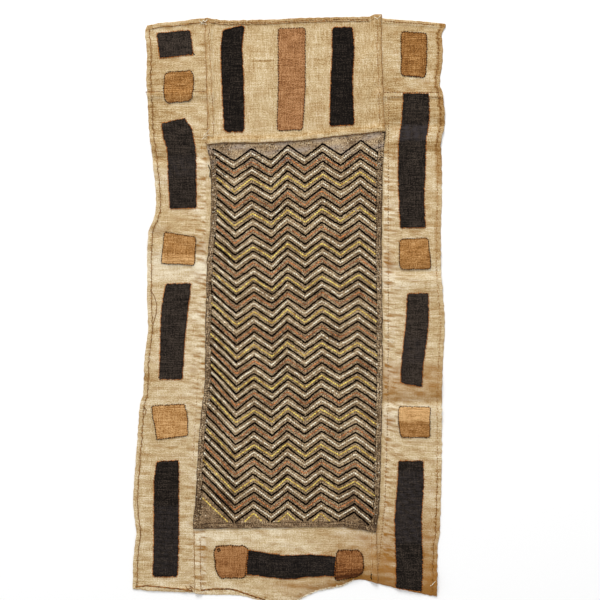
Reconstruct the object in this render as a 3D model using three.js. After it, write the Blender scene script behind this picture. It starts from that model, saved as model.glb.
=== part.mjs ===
import * as THREE from "three";

// A Kuba raffia cloth lying open on a flat surface, face up. Millimetres, +Z up, the
// cloth's top edge towards +Y, the origin on the surface under the middle of its box.
// An embroidered middle panel is framed by plain panels and strips, and dark and tan
// patches are sewn on the frame.

// Thickness of the layers
const CLOTH = 1.2;
const TURNED = 2.4;
const STITCHED = 2.0;
const STITCHED_HEM = 2.6;
const ROLL = 3.6;
const EDGE = 2.0;
const PATCH = 1.0;
const AIR = 0.3;

// Widths of the hems and laps
const HEM = 8.5;
const HEM_END = 11;
const LAP = 10;
const LAP_CLEAR = 12.5;
const LAP_END = 15.5;

// Where the upper and lower pieces of the side strips meet
const STRIP_SEAM = 432;

// The lower edge's right part is turned under and stands a little proud
const TURN_RISE = 5;
const TURN_REACH = 24;
const TURN_FROM = -20;
const TURN_FADE = 80;

// A strip's creases die out over this distance from its seam
const CREASE_FADE = 24;
const CREASE_END = 3.4;

// Spacing of the mesh, and how finely a sheet is tested against those below it
const ROW_STEP = 30;
const ROW_LEAST = 5;
const CREASE_STEP = 11;
const CREASE_TAIL = 2.6;
const STRIP_HALF = 60;
const PATCH_STEP = 22;
const BEND = 60;
const CORNER_MARKS = [0, 0.3, 1];
const PLACE_PASSES = 4;
const TEST_STEPS = 12;
const TEST_PASSES = 5;
const TEST_TURNS = 8;
const TOUCH = 1e-9;

// Cross sections from the top down: the cloth's two sides, and the seams on which the
// middle column (top, middle and bottom panel) lies over the side strips
const sections = [
  { y: 584, left: -274, leftSeam: -169, rightSeam: 185.5, right: 306 },
  { y: 566, left: -279, leftSeam: -168, rightSeam: 183.5, right: 313.5 },
  { y: 548, left: -288.5, leftSeam: -168, rightSeam: 183.5, right: 305.5 },
  { y: 508, left: -284.5, leftSeam: -166.5, rightSeam: 184.5, right: 307.5 },
  { y: 448, left: -286.5, leftSeam: -165, rightSeam: 186.5, right: 301.5 },
  { y: 428, left: -284.5, leftSeam: -164.5, rightSeam: 187, right: 307.5 },
  { y: 368, left: -281.5, leftSeam: -163, rightSeam: 189.5, right: 311.5 },
  { y: 350, left: -280.5, leftSeam: -163, rightSeam: 193.5, right: 307 },
  { y: 327, left: -277, leftSeam: -165, rightSeam: 190, right: 303.5 },
  { y: 286, left: -272, leftSeam: -157.5, rightSeam: 187.5, right: 305.5 },
  { y: 208, left: -266.5, leftSeam: -156.5, rightSeam: 186, right: 305.5 },
  { y: 188, left: -268.5, leftSeam: -157, rightSeam: 185.8, right: 304.5 },
  { y: 148, left: -282.5, leftSeam: -159.5, rightSeam: 185.3, right: 303.5 },
  { y: 88, left: -284.5, leftSeam: -165, rightSeam: 185.3, right: 303.5 },
  { y: 28, left: -284.5, leftSeam: -166.5, rightSeam: 186, right: 307.5 },
  { y: -32, left: -282.5, leftSeam: -168, rightSeam: 186.8, right: 311.5 },
  { y: -112, left: -290.5, leftSeam: -168.5, rightSeam: 187, right: 307.5 },
  { y: -172, left: -292.5, leftSeam: -171, rightSeam: 186.3, right: 305.5 },
  { y: -192, left: -298.5, leftSeam: -174.5, rightSeam: 186, right: 305.5 },
  { y: -272, left: -304.5, leftSeam: -182, rightSeam: 184, right: 305.5 },
  { y: -392, left: -312.5, leftSeam: -188.5, rightSeam: 180.7, right: 303.5 },
  { y: -432, left: -308.5, leftSeam: -192.5, rightSeam: 176.5, right: 302 },
  { y: -452, left: -306.5, leftSeam: -190.5, rightSeam: 173.5, right: 301.5 },
  { y: -472, left: -308.5, leftSeam: -189.5, rightSeam: 174, right: 297.5 },
  { y: -512, left: -312.5, leftSeam: -189, rightSeam: 175.5, right: 296.5 },
  { y: -580, left: -313.5, leftSeam: -188, rightSeam: 177, right: 295.5 },
];

// The cloth's top edge, and the small tab that stands up at the right seam
const topRows = [
  { x: -279, y: 566 },
  { x: -266, y: 570 },
  { x: -218, y: 574 },
  { x: -194, y: 578 },
  { x: -170, y: 580 },
  { x: -122, y: 576 },
  { x: -26, y: 578 },
  { x: 10, y: 580 },
  { x: 154, y: 583 },
  { x: 186, y: 580 },
  { x: 262, y: 574 },
  { x: 314, y: 569 },
];
const tabRows = [
  { x: 160, y: 583 },
  { x: 172, y: 588 },
  { x: 186, y: 588 },
];

// The cloth's lower edge
const bottomRows = [
  { x: -313.5, y: -562 },
  { x: -278, y: -566 },
  { x: -194, y: -570 },
  { x: -170, y: -574 },
  { x: -110, y: -575 },
  { x: -86, y: -578 },
  { x: -48, y: -588 },
  { x: 2, y: -588 },
  { x: 22, y: -582 },
  { x: 34, y: -576 },
  { x: 58, y: -566 },
  { x: 106, y: -556 },
  { x: 130, y: -545 },
  { x: 142, y: -544 },
  { x: 178, y: -552 },
  { x: 226, y: -564 },
  { x: 296, y: -578 },
];

// Where the top panel's rolled hem ends on the middle panel
const rollRows = [
  { x: -165, y: 327 },
  { x: -118, y: 331 },
  { x: -68, y: 331 },
  { x: 2, y: 334 },
  { x: 42, y: 337 },
  { x: 84, y: 343 },
  { x: 164, y: 351 },
  { x: 194, y: 354 },
];

// The middle panel's lower edge
const middleFootRows = [
  { x: -193, y: -442 },
  { x: -100, y: -441 },
  { x: 102, y: -438 },
  { x: 132, y: -442 },
  { x: 175, y: -449 },
];

// Old fold lines across the side strips: a valley with a soft ridge on each side
const creases = [
  { side: "left", y: 300, x: -215, lean: 0, rise: 3, reach: 22 },
  { side: "left", y: 128, x: -220, lean: -0.4, rise: 3, reach: 24 },
  { side: "right", y: 366, x: 245, lean: 0.04, rise: 3.5, reach: 24 },
  { side: "right", y: 74, x: 245, lean: 0, rise: 3, reach: 22 },
  { side: "right", y: -188, x: 245, lean: 0, rise: 3.5, reach: 24 },
];

// Broad low swells where the cloth doesn't lie quite flat
const swells = [
  { x: 150, y: 470, rise: 2.2, wide: 60, tall: 90 },
  { x: -50, y: 455, rise: 1.8, wide: 80, tall: 85 },
  { x: -80, y: 190, rise: 1.4, wide: 70, tall: 110 },
  { x: 90, y: 60, rise: 1.6, wide: 85, tall: 130 },
  { x: -90, y: -150, rise: 1.4, wide: 75, tall: 120 },
  { x: 70, y: -320, rise: 1.5, wide: 90, tall: 90 },
];

// Smooth curve through a table's rows that never swings past a row
function curve(table, from, to) {
  const rows = [...table].sort((a, b) => a[from] - b[from]);
  const last = rows.length - 1;
  const secants = [];
  for (let i = 0; i < last; i++) {
    const run = rows[i + 1][from] - rows[i][from];
    secants.push((rows[i + 1][to] - rows[i][to]) / run);
  }
  const slopes = rows.map((row, i) => {
    const before = secants[Math.max(i - 1, 0)];
    const after = secants[Math.min(i, last - 1)];
    return before * after <= 0 ? 0 : (2 * before * after) / (before + after);
  });
  return (at) => {
    const t = Math.min(Math.max(at, rows[0][from]), rows[last][from]);
    let i = 0;
    while (i < last - 1 && t > rows[i + 1][from]) {
      i++;
    }
    const run = rows[i + 1][from] - rows[i][from];
    const s = (t - rows[i][from]) / run;
    const hold = rows[i][to] * (1 + 2 * s) * (1 - s) ** 2 + rows[i + 1][to] * s * s * (3 - 2 * s);
    const bend = slopes[i] * s * (1 - s) ** 2 - slopes[i + 1] * s * s * (1 - s);
    return hold + bend * run;
  };
}

const leftEdge = curve(sections, "y", "left");
const leftSeam = curve(sections, "y", "leftSeam");
const rightSeam = curve(sections, "y", "rightSeam");
const rightEdge = curve(sections, "y", "right");
const topEdge = curve(topRows, "x", "y");
const tabEdge = curve(tabRows, "x", "y");
const bottomEdge = curve(bottomRows, "x", "y");
const rollEdge = curve(rollRows, "x", "y");
const middleFoot = curve(middleFootRows, "x", "y");

// 0 to 1 with soft ends
function ramp(t) {
  const s = Math.min(Math.max(t, 0), 1);
  return s * s * (3 - 2 * s);
}

// Rises from 0 to 1 at distance 1, then dies out
function ridge(distance) {
  if (distance <= 0 || distance > CREASE_END) {
    return 0;
  }
  return distance * Math.exp((1 - distance * distance) / 2);
}

// How much of the lower edge's turned-under part there is at x, from 0 to 1
function turnShare(x) {
  return ramp((x - TURN_FROM) / TURN_FADE);
}

// Height of the cloth's underside where it lies on the surface alone
function folds(x, y) {
  let height = TURN_RISE * ridge((y - bottomEdge(x)) / TURN_REACH) * turnShare(x);
  for (const crease of creases) {
    const out = crease.side === "left" ? leftSeam(y) - x : x - rightSeam(y);
    const line = crease.y + crease.lean * (x - crease.x);
    height += crease.rise * ridge(Math.abs(y - line) / crease.reach) * ramp(out / CREASE_FADE);
  }
  for (const swell of swells) {
    const far = Math.hypot((x - swell.x) / swell.wide, (y - swell.y) / swell.tall);
    height += far < 1 ? swell.rise * (1 - far * far) ** 2 : 0;
  }
  return height;
}

// Edge profiles: distance in from the edge, and the thickness there
const edges = {
  hem: [{ inset: 0, thick: EDGE }, { inset: HEM, thick: TURNED }, { inset: HEM_END, thick: CLOTH }],
  lap: [{ inset: 0, thick: EDGE }, { inset: LAP_CLEAR, thick: TURNED }, { inset: LAP_END, thick: CLOTH }],
  middleHem: [
    { inset: 0, thick: EDGE },
    { inset: LAP_CLEAR, thick: STITCHED_HEM },
    { inset: LAP_END, thick: STITCHED },
  ],
  roll: [
    { inset: 0, thick: CLOTH },
    { inset: 3.5, thick: ROLL },
    { inset: 8, thick: ROLL },
    { inset: LAP_CLEAR, thick: CLOTH },
    { inset: LAP_END, thick: CLOTH },
  ],
  turned: [
    { inset: 0, thick: EDGE },
    { inset: HEM, thick: TURNED },
    { inset: HEM_END, thick: CLOTH },
    { inset: 18, thick: CLOTH },
    { inset: 25, thick: CLOTH },
    { inset: 34, thick: CLOTH },
    { inset: 46, thick: CLOTH },
    { inset: 60, thick: CLOTH },
  ],
  hidden: [{ inset: 0, thick: CLOTH }],
  seamSide: [
    { inset: 0, thick: CLOTH },
    { inset: LAP + 1, thick: CLOTH },
    { inset: LAP + 12, thick: CLOTH },
    { inset: LAP + 24, thick: CLOTH },
  ],
};

// Row heights between two levels, through the key levels, neither crowded nor sparse
function levelsBetween(keys, high, low, step) {
  const marks = [high];
  for (const y of [...keys].sort((a, b) => b - a)) {
    if (y < marks[marks.length - 1] - ROW_LEAST && y > low + ROW_LEAST) {
      marks.push(y);
    }
  }
  marks.push(low);
  const levels = [];
  for (let i = 0; i < marks.length - 1; i++) {
    const span = marks[i] - marks[i + 1];
    const parts = Math.ceil(span / step);
    for (let k = 1; k <= parts; k++) {
      levels.push(marks[i] - (span * k) / parts);
    }
  }
  return levels.slice(0, -1);
}

// Levels near a side's creases, close enough together to follow them
function creaseLevels(side) {
  const levels = [];
  for (const crease of creases.filter((row) => row.side === side)) {
    const half = crease.reach * CREASE_TAIL + Math.abs(crease.lean) * STRIP_HALF;
    const count = Math.ceil(half / CREASE_STEP);
    for (let k = -count; k <= count; k++) {
      levels.push(crease.y + k * CREASE_STEP);
    }
  }
  return levels;
}

// The rows and columns of a sheet's mesh, as rules for y and x
function layout(shape) {
  const middleX = (shape.left(shape.at) + shape.right(shape.at)) / 2;
  const above = shape.above.map((mark) => ({ ...mark, side: "above" }));
  const below = shape.below.map((mark) => ({ ...mark, side: "below" })).reverse();
  const high = shape.top(middleX) - above[above.length - 1].inset;
  const low = shape.bottom(middleX) + below[0].inset;
  const levels = levelsBetween(shape.keys, high, low, shape.rowStep);
  const rows = [...above, ...levels.map((level) => ({ side: "level", level, thick: 0 })), ...below];
  const start = shape.starts.map((mark) => ({ ...mark, side: "left" }));
  const end = shape.ends.map((mark) => ({ ...mark, side: "right" })).reverse();
  const inner = [];
  for (let k = 1; k < shape.columns; k++) {
    inner.push({ side: "part", part: k / shape.columns, thick: 0 });
  }
  return { rows, columns: [...start, ...inner, ...end], high, low, middleX };
}

function rowY(shape, plan, row, x) {
  if (row.side === "above") {
    return shape.top(x) - row.inset;
  }
  if (row.side === "below") {
    return shape.bottom(x) + row.inset;
  }
  const bend = Math.min(BEND, plan.high - plan.low);
  const fromTop = Math.max(0, 1 - (plan.high - row.level) / bend);
  const fromBottom = Math.max(0, 1 - (row.level - plan.low) / bend);
  const topShift = shape.top(x) - shape.top(plan.middleX);
  const bottomShift = shape.bottom(x) - shape.bottom(plan.middleX);
  return row.level + fromTop * topShift + fromBottom * bottomShift;
}

function columnX(shape, plan, column, y, cut) {
  const left = shape.left(y) + cut;
  const right = shape.right(y) - cut;
  if (column.side === "left") {
    return left + column.inset;
  }
  if (column.side === "right") {
    return right - column.inset;
  }
  const from = left + shape.starts[shape.starts.length - 1].inset;
  const to = right - shape.ends[shape.ends.length - 1].inset;
  return from + (to - from) * column.part;
}

// How far a rounded corner draws a row in, at a distance from the row's end
function cornerCut(radius, inset) {
  if (inset >= radius) {
    return 0;
  }
  return radius - Math.sqrt(radius * radius - (radius - inset) ** 2);
}

// Places a sheet's points in plan, with its thickness at each
function spread(shape) {
  const plan = layout(shape);
  return plan.rows.map((row) => {
    const cut = row.side === "level" ? 0 : cornerCut(shape.corner, row.inset);
    return plan.columns.map((column) => {
      let y = row.side === "level" ? row.level : shape.at;
      let x = 0;
      for (let pass = 0; pass < PLACE_PASSES; pass++) {
        x = columnX(shape, plan, column, y, cut);
        y = rowY(shape, plan, row, x);
      }
      const turned = row.side === "below" ? shape.hemShare(x) : 1;
      const rowThick = shape.cloth + (row.thick - shape.cloth) * turned;
      const thick = Math.max(shape.cloth, row.side === "level" ? 0 : rowThick, column.thick);
      return { x, y, under: folds(x, y), thick };
    });
  });
}

// A point's shares of a triangle's three corners, or null outside it
function sharesAt([a, b, c], x, y) {
  const area = (b.x - a.x) * (c.y - a.y) - (c.x - a.x) * (b.y - a.y);
  const shareB = ((x - a.x) * (c.y - a.y) - (c.x - a.x) * (y - a.y)) / area;
  const shareC = ((b.x - a.x) * (y - a.y) - (x - a.x) * (b.y - a.y)) / area;
  const shares = [1 - shareB - shareC, shareB, shareC];
  return shares.every((share) => share >= -TOUCH) ? shares : null;
}

// Height of a laid sheet's upper face at a point, or null beside it
function heightOn(cells, x, y) {
  for (const { triangles } of cells) {
    for (const triangle of triangles) {
      const shares = sharesAt(triangle, x, y);
      if (shares) {
        return blend(triangle, shares, "under") + blend(triangle, shares, "thick");
      }
    }
  }
  return null;
}

// A sheet's cells as pairs of triangles, each with its bounds
function cellsOf(points) {
  const cells = [];
  for (let r = 0; r < points.length - 1; r++) {
    for (let c = 0; c < points[r].length - 1; c++) {
      const [a, b] = [points[r][c], points[r][c + 1]];
      const [d, e] = [points[r + 1][c], points[r + 1][c + 1]];
      const xs = [a.x, b.x, d.x, e.x];
      const ys = [a.y, b.y, d.y, e.y];
      cells.push({
        corners: [a, b, d, e],
        triangles: [[a, d, e], [a, e, b]],
        minX: Math.min(...xs),
        maxX: Math.max(...xs),
        minY: Math.min(...ys),
        maxY: Math.max(...ys),
      });
    }
  }
  return cells;
}

// Height at which a point rests on a laid sheet: on it, or just clear of its edge
function restOn(laid, x, y) {
  const over = heightOn(laid.cells, x, y);
  if (over !== null) {
    return over + AIR;
  }
  let best = 0;
  for (let k = 0; k < TEST_TURNS; k++) {
    const turn = (2 * Math.PI * k) / TEST_TURNS;
    const [dx, dy] = [Math.cos(turn), Math.sin(turn)].map((part) => part * (LAP_CLEAR - LAP));
    best = Math.max(best, (heightOn(laid.cells, x + dx, y + dy) ?? -AIR) + AIR);
  }
  return best;
}

// Lays a sheet on those below it: each point rests on them, then each cell is raised
// until it clears them, on an even spread of points and over every corner below
function layOn(points, cells, lower) {
  for (const point of points.flat()) {
    point.under = Math.max(point.under, ...lower.map((laid) => restOn(laid, point.x, point.y)));
  }
  for (let pass = 0; pass < TEST_PASSES; pass++) {
    for (const cell of cells) {
      for (const laid of lower) {
        const near = laid.cells.filter((other) => {
          const apartX = other.maxX < cell.minX || other.minX > cell.maxX;
          return !apartX && other.maxY >= cell.minY && other.minY <= cell.maxY;
        });
        if (near.length) {
          clearCell(cell, near);
        }
      }
    }
  }
}

function clearCell(cell, near) {
  for (const triangle of cell.triangles) {
    for (let i = 0; i <= TEST_STEPS; i++) {
      for (let j = 0; j <= TEST_STEPS - i; j++) {
        const shares = [1 - (i + j) / TEST_STEPS, i / TEST_STEPS, j / TEST_STEPS];
        const [x, y] = ["x", "y"].map((axis) => blend(triangle, shares, axis));
        raise(triangle, shares, heightOn(near, x, y));
      }
    }
    for (const corner of near.flatMap((other) => other.corners)) {
      const shares = sharesAt(triangle, corner.x, corner.y);
      if (shares) {
        raise(triangle, shares, corner.under + corner.thick);
      }
    }
  }
}

function blend(triangle, shares, key) {
  return triangle.reduce((sum, point, k) => sum + shares[k] * point[key], 0);
}

// Raises a triangle just enough at one point, its nearest corner the most
function raise(triangle, shares, height) {
  const lack = height === null ? 0 : height + AIR - blend(triangle, shares, "under");
  const weight = shares.reduce((sum, share) => sum + share * share, 0);
  triangle.forEach((point, k) => {
    point.under += lack > 0 ? (lack * shares[k]) / weight : 0;
  });
}

// A closed body: the upper face, the lower face and the wall round them
function bodyOf(points) {
  const rowCount = points.length;
  const columnCount = points[0].length;
  const layer = rowCount * columnCount;
  const positions = [];
  for (const lift of [1, 0]) {
    for (const point of points.flat()) {
      positions.push(point.x, point.y, point.under + lift * point.thick);
    }
  }
  const index = [];
  const at = (r, c) => r * columnCount + c;
  for (let r = 0; r < rowCount - 1; r++) {
    for (let c = 0; c < columnCount - 1; c++) {
      const [a, b, d, e] = [at(r, c), at(r, c + 1), at(r + 1, c), at(r + 1, c + 1)];
      index.push(a, d, e, a, e, b);
      index.push(a + layer, e + layer, d + layer, a + layer, b + layer, e + layer);
    }
  }
  const rim = [];
  for (let c = 0; c < columnCount - 1; c++) {
    rim.push(at(0, c));
  }
  for (let r = 0; r < rowCount - 1; r++) {
    rim.push(at(r, columnCount - 1));
  }
  for (let c = columnCount - 1; c > 0; c--) {
    rim.push(at(rowCount - 1, c));
  }
  for (let r = rowCount - 1; r > 0; r--) {
    rim.push(at(r, 0));
  }
  rim.forEach((p, k) => {
    const q = rim[(k + 1) % rim.length];
    index.push(p, q, q + layer, p, q + layer, p + layer);
  });
  const geometry = new THREE.BufferGeometry();
  geometry.setAttribute("position", new THREE.Float32BufferAttribute(positions, 3));
  geometry.setIndex(index);
  geometry.computeVertexNormals();
  return geometry;
}

const cloth = new THREE.Group();
const laidSheets = {};

// Builds one piece, lays it on the pieces named in its shape and adds it to the cloth
function sew(name, colour, given) {
  const plain = { corner: 0, keys: [], rowStep: ROW_STEP, cloth: CLOTH, hemShare: () => 1, on: [] };
  const shape = { ...plain, ...given };
  const points = spread(shape);
  const cells = cellsOf(points);
  layOn(points, cells, shape.on.map((lower) => laidSheets[lower]));
  laidSheets[name] = { cells };
  const material = new THREE.MeshStandardMaterial({ color: colour, roughness: 0.9, metalness: 0 });
  const mesh = new THREE.Mesh(bodyOf(points), material);
  mesh.name = name;
  cloth.add(mesh);
}

const RAFFIA = 0xc8ac82;
const TOP_RAFFIA = 0xccb48c;
const EMBROIDERED = 0x8c765a;

// The side strips, each of a short upper and a long lower piece, hemmed on the outside
const seamLevels = [STRIP_SEAM + 6, STRIP_SEAM + 1, STRIP_SEAM - LAP_CLEAR, STRIP_SEAM - LAP_END];
const stripSides = {
  left: {
    left: leftEdge,
    right: (y) => leftSeam(y) + LAP,
    starts: edges.hem,
    ends: edges.seamSide,
    lowerFoot: edges.hem,
  },
  right: {
    left: (y) => rightSeam(y) - LAP,
    right: rightEdge,
    starts: edges.seamSide,
    ends: edges.hem,
    lowerFoot: edges.turned,
  },
};
const sectionLevels = sections.map((row) => row.y);
const stripLevels = {};
for (const side of ["left", "right"]) {
  const { lowerFoot, ...sides } = stripSides[side];
  stripLevels[side] = [...creaseLevels(side), ...sectionLevels];
  sew(`${side}_strip_upper`, RAFFIA, {
    ...sides,
    at: 500,
    top: topEdge,
    bottom: () => STRIP_SEAM - LAP,
    above: edges.hem,
    below: edges.hidden,
    columns: 3,
    keys: sectionLevels,
  });
  sew(`${side}_strip_lower`, RAFFIA, {
    ...sides,
    at: 0,
    top: () => STRIP_SEAM,
    bottom: bottomEdge,
    above: edges.lap,
    below: lowerFoot,
    columns: 3,
    keys: stripLevels[side],
    hemShare: (x) => 1 - turnShare(x),
    on: [`${side}_strip_upper`],
  });
}

const lowerStrips = ["left_strip_lower", "right_strip_lower"];
const upperStrips = ["left_strip_upper", "right_strip_upper"];

// The middle column: bottom panel, embroidered middle panel, top panel
sew("bottom_panel", RAFFIA, {
  at: -500,
  left: leftSeam,
  right: rightSeam,
  top: (x) => middleFoot(x) + LAP,
  bottom: bottomEdge,
  starts: edges.lap,
  ends: edges.lap,
  above: edges.hidden,
  below: edges.turned,
  columns: 13,
  hemShare: (x) => 1 - turnShare(x),
  on: lowerStrips,
});

sew("middle_panel", EMBROIDERED, {
  at: 0,
  left: leftSeam,
  right: rightSeam,
  top: (x) => rollEdge(x) + LAP,
  bottom: middleFoot,
  starts: edges.middleHem,
  ends: edges.middleHem,
  above: [{ inset: 0, thick: STITCHED }],
  below: edges.middleHem,
  columns: 8,
  keys: sectionLevels,
  cloth: STITCHED,
  on: [...lowerStrips, "bottom_panel"],
});

sew("top_panel", TOP_RAFFIA, {
  at: 450,
  left: leftSeam,
  right: rightSeam,
  top: (x) => (x > tabRows[0].x ? Math.max(topEdge(x), tabEdge(x)) : topEdge(x)),
  bottom: rollEdge,
  starts: edges.lap,
  ends: edges.lap,
  above: edges.hem,
  below: edges.roll,
  columns: 12,
  keys: seamLevels,
  on: [...lowerStrips, ...upperStrips, "middle_panel"],
});

// Patches, each as cross sections from the top down. Its top and foot may slant: lift is
// how much higher the right end of that edge lies than the left end.
const BLACK = 0x2e2823;
const TAN = 0xb08350;
const RUST = 0xa8764a;
const BROWN = 0x925f39;
const patches = [
  {
    name: "left_patch_1", colour: BLACK, corner: 4, topLift: 6, footLift: 7.6,
    on: ["left_strip_upper"],
    sections: [{ y: 553, left: -265.5, right: -198 }, { y: 503.5, left: -259.5, right: -191.5 }],
  },
  {
    name: "left_patch_2", colour: TAN, corner: 8, topLift: 4, footLift: 5,
    on: ["left_strip_upper", "left_strip_lower"],
    keys: seamLevels,
    sections: [
      { y: 473.5, left: -249, right: -194 },
      { y: 457, left: -250, right: -191 },
      { y: 437, left: -251.5, right: -192.5 },
      { y: 412, left: -247, right: -196 },
    ],
  },
  {
    name: "left_patch_3", colour: BLACK, corner: 5, topLift: 11, footLift: 1,
    on: ["left_strip_lower"],
    sections: [
      { y: 375, left: -256.5, right: -207 },
      { y: 361, left: -255, right: -196 },
      { y: 341, left: -251, right: -191.5 },
      { y: 316, left: -244.5, right: -187.5 },
      { y: 276, left: -242.5, right: -186 },
      { y: 199, left: -239, right: -186 },
    ],
  },
  {
    name: "left_patch_4", colour: TAN, corner: 4, topLift: -11, footLift: -4,
    on: ["left_strip_lower"],
    sections: [{ y: 147, left: -250, right: -186 }, { y: 87.5, left: -256.5, right: -189 }],
  },
  {
    name: "left_patch_5", colour: BLACK, corner: 4, topLift: 1, footLift: 0,
    on: ["left_strip_lower"],
    sections: [
      { y: 49, left: -247, right: -196 },
      { y: 16, left: -253, right: -200 },
      { y: -24, left: -257, right: -205 },
      { y: -66, left: -258, right: -209 },
      { y: -143, left: -260.5, right: -213.5 },
    ],
  },
  {
    name: "left_patch_6", colour: TAN, corner: 4, topLift: 4, footLift: 8,
    on: ["left_strip_lower"],
    sections: [
      { y: -194, left: -276.5, right: -209 },
      { y: -228, left: -271, right: -203 },
      { y: -259.5, left: -265.5, right: -203 },
    ],
  },
  {
    name: "left_patch_7", colour: BLACK, corner: 5, topLift: 2, footLift: 0,
    on: ["left_strip_lower"],
    sections: [
      { y: -306, left: -265.5, right: -221.5 },
      { y: -346, left: -270.5, right: -221 },
      { y: -448, left: -271, right: -221 },
      { y: -538, left: -273, right: -223.5 },
    ],
  },
  {
    name: "right_patch_1", colour: TAN, corner: 8, topLift: -3, footLift: -5,
    on: ["right_strip_upper"],
    sections: [
      { y: 551.5, left: 223, right: 276 },
      { y: 500, left: 224, right: 275 },
      { y: 463, left: 223, right: 273 },
    ],
  },
  {
    name: "right_patch_2", colour: BLACK, corner: 3, topLift: -1, footLift: 0,
    on: ["right_strip_lower"],
    keys: [STRIP_SEAM - LAP_CLEAR, STRIP_SEAM - LAP_END],
    sections: [
      { y: 429, left: 228, right: 279 },
      { y: 379, left: 225, right: 280 },
      { y: 335, left: 219.5, right: 273.5 },
      { y: 276, left: 218, right: 272.5 },
      { y: 218, left: 219.5, right: 270 },
      { y: 160.5, left: 222, right: 273 },
    ],
  },
  {
    name: "right_patch_3", colour: TAN, corner: 7, topLift: 3, footLift: 0,
    on: ["right_strip_lower"],
    sections: [
      { y: 139, left: 221, right: 278 },
      { y: 120, left: 220, right: 280 },
      { y: 92, left: 220, right: 283 },
      { y: 77.5, left: 222, right: 282.5 },
    ],
  },
  {
    name: "right_patch_4", colour: BLACK, corner: 4, topLift: 2, footLift: -8,
    on: ["right_strip_lower"],
    sections: [
      { y: 29, left: 236, right: 278 },
      { y: -14, left: 234.5, right: 279 },
      { y: -66, left: 229.5, right: 275 },
      { y: -126, left: 223.5, right: 267 },
      { y: -154, left: 223, right: 265.5 },
    ],
  },
  {
    name: "right_patch_5", colour: TAN, corner: 4, topLift: -1, footLift: 0,
    on: ["right_strip_lower"],
    sections: [
      { y: -197.5, left: 219, right: 283 },
      { y: -218, left: 218, right: 281.5 },
      { y: -259, left: 223.5, right: 281.5 },
    ],
  },
  {
    name: "right_patch_6", colour: BLACK, corner: 3, topLift: 0, footLift: -7,
    on: ["right_strip_lower"], footInsets: [6, 14, 23, 34, 48, 64],
    sections: [
      { y: -306, left: 219, right: 268 },
      { y: -346, left: 217, right: 269 },
      { y: -427, left: 211.5, right: 265 },
      { y: -508, left: 213.5, right: 267 },
      { y: -563.5, left: 213.5, right: 265 },
    ],
  },
  {
    name: "top_patch_1", colour: BLACK, corner: 5, topLift: 9, footLift: 0,
    on: ["top_panel"],
    sections: [
      { y: 561.5, left: -132.5, right: -90 },
      { y: 514, left: -137, right: -94 },
      { y: 454, left: -135, right: -91 },
      { y: 352.5, left: -130.5, right: -90 },
    ],
  },
  {
    name: "top_patch_2", colour: RUST, corner: 5, topLift: 2, footLift: 2,
    on: ["top_panel"],
    sections: [
      { y: 560, left: -22.5, right: 32 },
      { y: 454, left: -22, right: 32 },
      { y: 356, left: -24.5, right: 27 },
    ],
  },
  {
    name: "top_patch_3", colour: BLACK, corner: 5, topLift: 1, footLift: 3,
    on: ["top_panel"],
    sections: [
      { y: 562, left: 86, right: 127 },
      { y: 514, left: 86, right: 130 },
      { y: 454, left: 83, right: 127 },
      { y: 365, left: 81, right: 130.5 },
    ],
  },
  {
    name: "bottom_patch_1", colour: BROWN, corner: 8, topLift: 0, footLift: 0,
    on: ["bottom_panel"],
    sections: [
      { y: -475, left: -148, right: -85 },
      { y: -486, left: -150.5, right: -83 },
      { y: -519, left: -148, right: -85.5 },
      { y: -540.5, left: -141, right: -87 },
    ],
  },
  {
    name: "bottom_patch_3", colour: BROWN, corner: 9, topLift: 2, footLift: 2,
    on: ["bottom_panel"], footInsets: [5, 11, 19, 28, 40],
    sections: [
      { y: -484, left: 94, right: 146 },
      { y: -500, left: 94, right: 149 },
      { y: -520, left: 92, right: 148 },
      { y: -543, left: 90, right: 142 },
    ],
  },
];

for (const patch of patches) {
  const rows = patch.sections;
  const first = rows[0];
  const last = rows[rows.length - 1];
  const slant = (row, lift) => (x) => row.y + lift * ((x - row.left) / (row.right - row.left) - 0.5);
  const ends = CORNER_MARKS.map((share) => share * patch.corner);
  const foot = [...ends, ...(patch.footInsets ?? []).filter((inset) => inset > patch.corner + 1)];
  const side = patch.name.split("_")[0];
  sew(patch.name, patch.colour, {
    at: (first.y + last.y) / 2,
    left: curve(rows, "y", "left"),
    right: curve(rows, "y", "right"),
    top: slant(first, patch.topLift),
    bottom: slant(last, patch.footLift),
    starts: [{ inset: 0, thick: PATCH }],
    ends: [{ inset: 0, thick: PATCH }],
    above: ends.map((inset) => ({ inset, thick: PATCH })),
    below: foot.map((inset) => ({ inset, thick: PATCH })),
    columns: 3,
    corner: patch.corner,
    keys: [...(patch.keys ?? []), ...(stripLevels[side] ?? [])],
    rowStep: PATCH_STEP,
    cloth: PATCH,
    on: patch.on,
  });
}

// The dark bar between the two lower brown patches, as cross sections from left to right
const barSections = [
  { x: -83, top: -484, foot: -533.5 },
  { x: 2, top: -495.5, foot: -542.5 },
  { x: 32, top: -493.5, foot: -538 },
  { x: 92, top: -497, foot: -535.5 },
];
const firstBrown = patches.find((patch) => patch.name === "bottom_patch_1");
const secondBrown = patches.find((patch) => patch.name === "bottom_patch_3");
const barLeft = curve(firstBrown.sections, "y", "right");
const barRight = curve(secondBrown.sections, "y", "left");
sew("bottom_patch_2", BLACK, {
  at: -515,
  left: (y) => barLeft(y) + AIR,
  right: (y) => barRight(y) - AIR,
  top: curve(barSections, "x", "top"),
  bottom: curve(barSections, "x", "foot"),
  starts: [{ inset: 0, thick: PATCH }],
  ends: [{ inset: 0, thick: PATCH }],
  above: [{ inset: 0, thick: PATCH }],
  below: [{ inset: 0, thick: PATCH }],
  columns: 12,
  rowStep: 12,
  cloth: PATCH,
  on: ["bottom_panel"],
});

export default cloth;
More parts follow.
